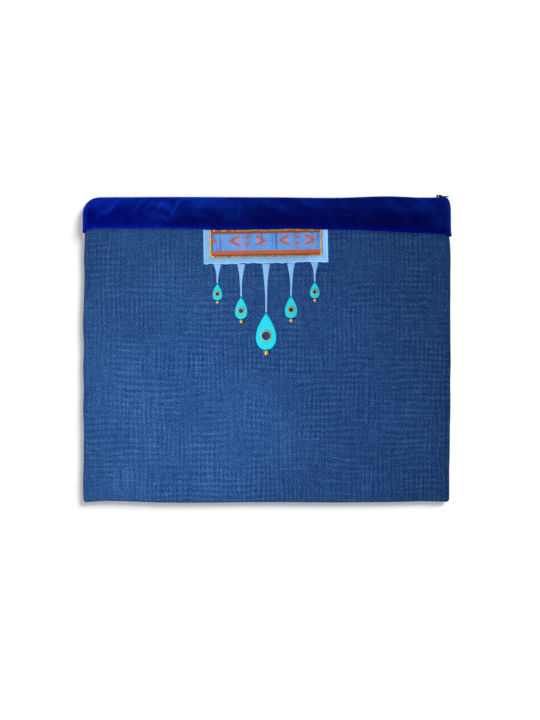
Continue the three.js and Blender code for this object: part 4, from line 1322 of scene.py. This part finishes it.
class BAG_OT_zip(bpy.types.Operator):
    """Makes the zip's tapes and coil"""
    bl_idname = "tallit_bag.zip"
    bl_label = "Zip"

    def execute(self, context):
        for node in ("zip_tape_front", "zip_tape_back"):
            points, faces, places = zip_tape(node)
            add_piece(node + "_weave", points, faces, "zip_tape", places, node)
        points, faces, places = joined([coil_half(-1), coil_half(1)])
        add_piece("zip_coil", points, faces, "zip_chain", places, "zip_chain")
        return {"FINISHED"}


def thicken_bridge(form):
    """Draws the opening under the slider's bridge in round the pull's bar."""
    zip_size = settings().zip
    low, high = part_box("zip_slider")
    middle = (low.x + high.x) / 2
    roof = high.y - zip_size.bridge
    floor = roof - zip_size.bridge_opening
    margin = 0.05 * MM
    for vert in form.verts:
        away = vert.co.x - middle
        in_span = abs(away) < zip_size.bridge_span / 2 - zip_size.bridge + margin
        if in_span and floor - margin < vert.co.y < roof + margin:
            vert.co.x -= math.copysign(zip_size.bridge_leg, away)
            if vert.co.y > roof - margin:
                vert.co.y -= zip_size.bridge_leg / 3


def rounded_metal(node, radius, body):
    """A hard piece of metal in the form of a CAD solid, with its edges rounded off."""
    source = frame["nodes"][node]
    form = bmesh.new()
    form.from_mesh(source.data)
    form.transform(source.matrix_world)
    bmesh.ops.remove_doubles(form, verts=form.verts, dist=0.002 * MM)
    if node == "zip_slider":
        thicken_bridge(form)
    bmesh.ops.dissolve_limit(form, angle_limit=math.radians(1), verts=form.verts, edges=form.edges)
    sharp = [edge for edge in form.edges if edge.calc_face_angle(0) > math.radians(25)]
    bmesh.ops.bevel(form, geom=sharp, offset=radius, segments=3, profile=0.5, affect="EDGES",
                    clamp_overlap=True)
    form.verts.ensure_lookup_table()
    points = [vert.co.copy() for vert in form.verts]
    faces = [[vert.index for vert in face.verts] for face in form.faces]
    form.free()
    add_piece(node + "_metal", points, faces, "dark_metal", None, node, body)


class BAG_OT_slider(bpy.types.Operator):
    """Makes the slider, its pull and the bottom stop"""
    bl_idname = "tallit_bag.slider"
    bl_label = "Slider"

    def execute(self, context):
        rounded_metal("zip_slider", 0.22 * MM, BAG)
        rounded_metal("zip_pull", 0.2 * MM, PULL)
        rounded_metal("zip_bottom_stop", 0.15 * MM, BAG)
        return {"FINISHED"}


def on_panel(x, y):
    """Places from the middle of the panel's lower edge, in the bag's own places."""
    bag, cuff, panel = settings().bag, settings().cuff, settings().panel
    cos, sin = math.cos(panel.tilt), math.sin(panel.tilt)
    return panel.shift + x * cos - y * sin, bag.length - cuff.depth - panel.depth + x * sin + y * cos


def below_cuff(x, y):
    """Places on the bag, drawn back where they would reach the cuff."""
    return x, np.minimum(y, cuff_edge(x) - settings().panel.gap)


def on_cloth(x, y, lift):
    """Points that lie lift above the body cloth, in the frame."""
    return to_frame(x, y, cloth_top(x, y) + lift)


def crowned(share, edge=0.16):
    """0 at both edges of a strip and 1 over its middle, for a share of 0 to 1 across it."""
    return rolled(np.minimum(share, 1 - share), edge)


def border_strip(corners, steps):
    """One strip of the border, from its outer edge's ends to its inner edge's, on the panel."""
    panel = settings().panel
    (ax, ay), (bx, by), (cx, cy), (dx, dy) = corners
    along = np.linspace(0, 1, steps)[None, :]
    fold = panel.hem / panel.border
    outside, inside = [0, 0.012, 0.045, 0.1], [*np.linspace(0.5, 0.82, 5), 0.9, 0.955, 0.988, 1]
    at_fold = fold + np.array([-0.09, -0.04, 0, 0.035, 0.08])
    across = np.concatenate([outside, at_fold, inside])[:, None]
    x = (ax + (bx - ax) * along) * (1 - across) + (dx + (cx - dx) * along) * across
    y = (ay + (by - ay) * along) * (1 - across) + (dy + (cy - dy) * along) * across
    wander = 0.24 * MM * (uneven(x, y, 0.014, 13) + 0.5 * uneven(x, y, 0.005, 15)) * (1 - across)
    from_mitre = np.minimum(along, 1 - along) * steps / 1.4
    crown = crowned(across) * (1 - 0.5 * np.exp(-(from_mitre**2)))
    # The hem is turned under: a groove runs along it, and the cloth inside lies a little lower
    groove = 0.3 * MM * np.exp(-(((across - fold) / 0.04) ** 2))
    puff = 0.06 * MM * uneven(x, y, 0.009, 14) - groove - 0.14 * MM * smooth(across, fold, fold + 0.06)
    x, y = below_cuff(*on_panel(x, y + wander))
    top = on_cloth(x, y, panel.gap + 0.15 * MM + crown * (panel.satin - 0.15 * MM + puff))
    return closed_between(top, on_cloth(x, y, panel.gap * SEWN_LIFT))


def border_strips():
    """The border's left, lower and right strips, which meet in mitres."""
    panel = settings().panel
    half, width = panel.width / 2, panel.border
    inner = half - width
    slit = 0.05 * MM
    rise = half * math.tan(panel.tilt)
    left_top, right_top = panel.depth + 0.6 * MM + rise, panel.depth + 0.6 * MM - rise
    left = [(-half, left_top), (-half, slit), (-inner, width + slit), (-inner, left_top)]
    lower = [(slit - half, 0), (half - slit, 0), (inner - slit, width), (slit - inner, width)]
    right = [(half, slit), (half, right_top), (inner, right_top), (inner, width + slit)]
    return joined([border_strip(left, 60), border_strip(lower, 160), border_strip(right, 60)])


def ribbon_half():
    """Half the ribbon's length, inside the border."""
    panel = settings().panel
    return panel.width / 2 - panel.border - RIBBON_INSET


def ribbon_mesh():
    """The ribbon inside the border, with its figures' places."""
    panel = settings().panel
    half = ribbon_half()
    along = np.linspace(-half, half, 180)[None, :]
    ends = np.array([0, 0.01, 0.03, 0.07])
    across = np.concatenate([ends, np.linspace(0.12, 0.88, 26), 1 - ends[::-1]])[:, None]
    low = panel.border + RIBBON_INSET
    high = panel.depth + 0.3 * MM - along * math.tan(panel.tilt)
    y = low + (high - low) * across
    x = along + 0 * across
    edge = rolled(half - np.abs(x), 0.8 * MM) * crowned(across, 0.03)
    pucker = 0.09 * MM * uneven(x, y, 0.012, 17)
    flat = np.stack([x + panel.figure_shift, y - low], -1)
    x, y = below_cuff(*on_panel(x, y))
    outer = on_cloth(x, y, panel.gap + 0.2 * MM + edge * (panel.ribbon - 0.3 * MM + pucker))
    points, faces, _ = closed_between(outer, on_cloth(x, y, panel.gap * SEWN_LIFT))
    return points, faces, np.concatenate([flat, flat])


class BAG_OT_panel(bpy.types.Operator):
    """Makes the border with its mitred corners, and the woven ribbon inside it"""
    bl_idname = "tallit_bag.panel"
    bl_label = "Sewn panel"

    def execute(self, context):
        points, faces, places = border_strips()
        border = add_piece("panel_border_satin", points, faces, "border", places, "panel_border")
        points, faces, places = ribbon_mesh()
        ribbon = add_piece("woven_ribbon_figured", points, faces, "ribbon", places, "woven_ribbon")
        return {"FINISHED"}


def cord_level():
    """The gold cord's middle above the body cloth."""
    panel = settings().panel
    return 2 * panel.gap + max(panel.satin, panel.ribbon) + panel.cord / 2


def cord_top(x):
    """Where a side cord ends below the cuff's edge, on the panel."""
    panel = settings().panel
    reached = float(cuff_edge(on_panel(x, panel.depth)[0]))
    return reached - on_panel(x, 0)[1] - panel.gap - panel.cord_end


def cord_round_ribbon():
    """The cord down the ribbon's sides and along its foot, on the panel."""
    panel = settings().panel
    half, low = panel.width / 2 - panel.border, panel.border
    turn = 1.2 * MM
    corner = np.linspace(0, math.pi / 2, 6)
    across, down = turn - turn * np.cos(corner[1:]), turn - turn * np.sin(corner[1:])
    left = [(-half, cord_top(-half)), (-half, low + turn), *zip(across - half, low + down)]
    across, down = turn * np.sin(corner) - turn, turn - turn * np.cos(corner)
    right = [*zip(half + across, low + down), (half, cord_top(half))]
    path = np.array(left + right)
    fine = resampled(np.column_stack([path, np.zeros(len(path))]), 0.002)
    x, y = on_panel(fine[:, 0], fine[:, 1])
    return twisted_cord(on_cloth(x, y, cord_level()), panel.cord, CORD_LAY)


def cord_along_cuff():
    """The short cord along the cuff's edge, between the side cords."""
    panel = settings().panel
    half = panel.width / 2 - panel.border - panel.cord - panel.gap
    x = np.linspace(-half, half, 60) + panel.shift
    y = cuff_edge(x) - panel.gap - panel.cord / 2 + 0.1 * MM * uneven(x, 0 * x, 0.012, 19)
    return twisted_cord(on_cloth(x, y, cord_level()), panel.cord, CORD_LAY)


class BAG_OT_cords(bpy.types.Operator):
    """Makes the gold cords round the ribbon and along the cuff"""
    bl_idname = "tallit_bag.cords"
    bl_label = "Gold cords"

    def execute(self, context):
        for node, make in (("gold_cord", cord_round_ribbon), ("gold_cord_top", cord_along_cuff)):
            points, faces, places = make()
            add_piece(node + "_twist", points, faces, "sewn_cord", places, node)
        return {"FINISHED"}


def drop_places(drop):
    """One drop's places down the front, from the panel's lower edge, in the bag's own places."""
    panel = settings().panel
    size = {key: value * panel.width for key, value in drop.items() if key != "name"}
    x, top = on_panel(size["across"], 0)
    tip = top - panel.gap - size["hanger"]
    foot = tip - panel.gap - size["length"]
    centre = tip - panel.gap - size["length"] * HOLE_PLACE
    return {**size, "x": x, "top": top - panel.gap, "tip": tip, "centre": centre, "foot": foot}


def hanger_mesh(drop, number):
    """A strip that narrows down to its drop and sways a little."""
    size, panel, place = settings().drop, settings().panel, drop_places(drop)
    down = np.linspace(0, 1, 30)[:, None]
    across = np.concatenate([[0, 0.03, 0.1], np.linspace(0.22, 0.78, 5), [0.9, 0.97, 1]])[None, :]
    narrowed = (size.hanger_top - size.hanger_tip) * (1 - down) ** HANGER_HOLLOW
    half = (size.hanger_tip + narrowed) / 2
    y = place["top"] + (place["tip"] - 0.2 * MM - place["top"]) * down
    sway = 0.22 * MM * np.sin(down * 5 + number * 1.7) * down * (1 - down) * 4
    x = place["x"] + half * (2 * across - 1) + sway
    rise = crowned(across, 0.22) * (0.75 + 0.25 * rolled(down, 0.06)) * rolled(1 - down, 0.004)
    top = on_cloth(x, y, panel.gap + 0.1 * MM + rise * (size.hanger - 0.1 * MM))
    return closed_between(top, on_cloth(x, y, panel.gap * SEWN_LIFT), flip=True)


class BAG_OT_hangers(bpy.types.Operator):
    """Makes the tapering hangers"""
    bl_idname = "tallit_bag.hangers"
    bl_label = "Hangers"

    def execute(self, context):
        for number, drop in enumerate(DROPS):
            points, faces, places = hanger_mesh(drop, number)
            name = "hanger_" + drop["name"]
            add_piece(name + "_satin", points, faces, "satin", places, name)
        return {"FINISHED"}


def drop_mesh(drop):
    """A drop of puffed cloth round its hole."""
    size, panel, place = settings().drop, settings().panel, drop_places(drop)
    turn = np.linspace(0, TURN, 97)[1:]
    edge_x = place["width"] / 2 * DROP_FULLNESS * np.sin(turn) * np.sin(turn / 2)
    edge_y = place["tip"] - panel.gap - place["length"] / 2 * (1 - np.cos(turn)) - place["centre"]
    reach = np.hypot(edge_x, edge_y)
    hole = place["hole"] / 2
    inside, outside = [0, 0.02, 0.07, 0.15], [0.85, 0.93, 0.98, 1]
    share = np.concatenate([inside, np.linspace(0.26, 0.74, 6), outside])[:, None]
    away = (hole + (reach - hole)[None] * share) / reach[None]
    x = place["x"] + edge_x[None] * away
    y = place["centre"] + edge_y[None] * away
    rise = crowned(share) * (size.cloth - 0.15 * MM) + 0.04 * MM * uneven(x, y, 0.006, 23)
    top = on_cloth(x, y, panel.gap + 0.15 * MM + np.maximum(rise, 0))
    base = on_cloth(x, y, panel.gap * SEWN_LIFT)
    rows, columns = x.shape
    faces = grid_faces(rows, columns, wrap=True)
    faces += grid_faces(rows, columns, rows * columns, flip=True, wrap=True)
    # Walls round the hole and round the outer edge
    hole_loop = np.arange(columns)
    for loop, flip in ((hole_loop, False), (hole_loop + (rows - 1) * columns, True)):
        after = np.roll(loop, -1)
        quads = np.stack([loop, loop + rows * columns, after + rows * columns, after], -1)
        faces += (quads[:, ::-1] if flip else quads).tolist()
    flat = np.stack([x, y], -1).reshape(-1, 2)
    return np.concatenate([top.reshape(-1, 3), base.reshape(-1, 3)]), faces, np.concatenate([flat, flat])


def ring_mesh(drop):
    """The twisted cord round a drop's hole."""
    size, panel, place = settings().drop, settings().panel, drop_places(drop)
    turn = np.linspace(0, TURN, 61)
    radius = (place["hole"] + size.wire) / 2
    x, y = place["x"] + radius * np.cos(turn), place["centre"] + radius * np.sin(turn)
    path = on_cloth(x, y, 2 * panel.gap + size.cloth + size.wire / 2)
    return twisted_cord(path, size.wire, RING_LAY, closed=True)


class BAG_OT_drops(bpy.types.Operator):
    """Makes the turquoise drops and the gold ring round each one's hole"""
    bl_idname = "tallit_bag.drops"
    bl_label = "Drops and rings"

    def execute(self, context):
        for drop in DROPS:
            points, faces, places = drop_mesh(drop)
            name = "drop_" + drop["name"]
            add_piece(name + "_cloth", points, faces, "turquoise", places, name)
            points, faces, places = ring_mesh(drop)
            name = "ring_" + drop["name"]
            add_piece(name + "_twist", points, faces, "gold_thread", places, name)
        return {"FINISHED"}


def bead_mesh(drop):
    """A round bead with a hole bored across it, below its drop."""
    size, panel, place = settings().drop, settings().panel, drop_places(drop)
    radius, bore = place["bead"] / 2, size.bore / 2
    reach = math.acos(bore / radius)
    swell = np.linspace(-reach, reach, 19)
    # The bore's edges are turned in a little
    rim = radius * math.sin(reach) * 0.85
    across = np.concatenate([radius * np.cos(swell), [bore * 0.93, bore * 0.93]])
    along = np.concatenate([radius * np.sin(swell), [rim, -rim]])
    turn = np.linspace(0, TURN, 32, endpoint=False)[:, None]
    y = place["foot"] - panel.gap - radius
    middle = on_cloth(np.array(place["x"]), np.array(y), panel.gap + radius)
    points = np.stack([along + 0 * turn, across * np.sin(turn), across * np.cos(turn)], -1) + middle
    return points, grid_faces(len(turn), len(along), wrap=True, ring=True)


class BAG_OT_beads(bpy.types.Operator):
    """Makes the drilled gold beads"""
    bl_idname = "tallit_bag.beads"
    bl_label = "Beads"

    def execute(self, context):
        for drop in DROPS:
            points, faces = bead_mesh(drop)
            name = "bead_" + drop["name"]
            add_piece(name + "_gold", points, faces, "gold_bead", None, name)
        return {"FINISHED"}


def lay_floor(scene):
    """The pale floor that the bag lies on."""
    mesh = bpy.data.meshes.new("floor")
    corners = [(-1, -1, 0), (1, -1, 0), (1, 1, 0), (-1, 1, 0)]
    mesh.from_pydata([Vector(corner) * FLOOR_REACH for corner in corners], [], [(0, 1, 2, 3)])
    mesh.materials.append(material("floor"))
    floor = bpy.data.objects.new("floor", mesh)
    floor.location.z = -0.2 * MM
    scene.collection.objects.link(floor)
    return floor


def light_stage(scene, floor):
    """Soft lights, some for the floor alone and some for the bag, and the pale surroundings."""
    world = bpy.data.worlds.new("Studio")
    world.use_nodes = True
    background = world.node_tree.nodes["Background"]
    background.inputs["Color"].default_value = (1, 1, 1, 1)
    background.inputs["Strength"].default_value = 0.2
    scene.world = world
    for_floor = bpy.data.collections.new("Floor light")
    for_floor.objects.link(floor)
    for_bag = bpy.data.collections.new("Bag light")
    for piece in scene.objects:
        if piece.type == "MESH" and piece is not floor:
            for_bag.objects.link(piece)
    for row in LAMPS:
        lamp(row, for_floor if row["lights"] == "floor" else for_bag)


def lamp(row, receivers):
    """A square soft light that looks at the bag and lights one collection."""
    data = bpy.data.lights.new(row["name"], "AREA")
    data.size = row["size"]
    data.energy = row["power"]
    light = bpy.data.objects.new(row["name"], data)
    light.location = row["place"]
    light.rotation_euler = (-Vector(row["place"])).to_track_quat("-Z", "Y").to_euler()
    light.light_linking.receiver_collection = receivers
    light.visible_camera = False
    bpy.context.scene.collection.objects.link(light)


def place_camera(scene):
    """The camera straight above, where the photograph was taken from."""
    data = bpy.data.cameras.new("Camera")
    camera = bpy.data.objects.new("Camera", data)
    scene.collection.objects.link(camera)
    above_seam = CAMERA_HEIGHT - settings().bag.seam
    data.sensor_width = 36
    data.lens = data.sensor_width * above_seam / (PHOTO_HEIGHT * PIXEL)
    x = origin_x() + (PHOTO_WIDTH / 2 - BAG_PIXEL[0]) * PIXEL
    y = origin_y() + (BAG_PIXEL[1] - PHOTO_HEIGHT / 2) * PIXEL
    camera.location = (x, y, CAMERA_HEIGHT)
    data.clip_start, data.clip_end = 0.05, 20
    scene.camera = camera


class BAG_OT_stage(bpy.types.Operator):
    """Makes the pale floor, the soft lights and the camera"""
    bl_idname = "tallit_bag.stage"
    bl_label = "Stage"

    def execute(self, context):
        scene = context.scene
        light_stage(scene, lay_floor(scene))
        place_camera(scene)
        scene.view_settings.view_transform = "Standard"
        return {"FINISHED"}


STEPS = [BAG_OT_body, BAG_OT_cuff, BAG_OT_zip, BAG_OT_slider, BAG_OT_panel, BAG_OT_cords, BAG_OT_hangers,
         BAG_OT_drops, BAG_OT_beads, BAG_OT_stage]


class BAG_PT_panel(bpy.types.Panel):
    """The bag's settings and steps"""
    bl_idname = "BAG_PT_panel"
    bl_label = "Tallit Bag"
    bl_space_type = "VIEW_3D"
    bl_region_type = "UI"
    bl_category = "Tallit Bag"

    def draw(self, context):
        layout = self.layout
        chosen = context.scene.tallit_bag
        for name in ("bag", "cuff", "zip", "panel", "drop", "colours"):
            part = getattr(chosen, name)
            box = layout.box()
            box.label(text=name.title())
            for key in part.__annotations__:
                box.prop(part, key)
        layout.prop(chosen, "seed")
        for step in STEPS:
            layout.operator(step.bl_idname)


CLASSES = [BagSizes, CuffSizes, ZipSizes, PanelSizes, DropSizes, BagColours, BagSettings,
           *STEPS, BAG_PT_panel]


def register():
    """Registers the classes and adds the settings to the scene."""
    for item in CLASSES:
        bpy.utils.register_class(item)
    bpy.types.Scene.tallit_bag = PointerProperty(type=BagSettings)


def unregister():
    """Takes the settings and classes away again."""
    del bpy.types.Scene.tallit_bag
    for item in reversed(CLASSES):
        bpy.utils.unregister_class(item)


def main():
    register()
    for step in STEPS:
        area, name = step.bl_idname.split(".")
        getattr(getattr(bpy.ops, area), name)()


if __name__ == "__main__":
    main()
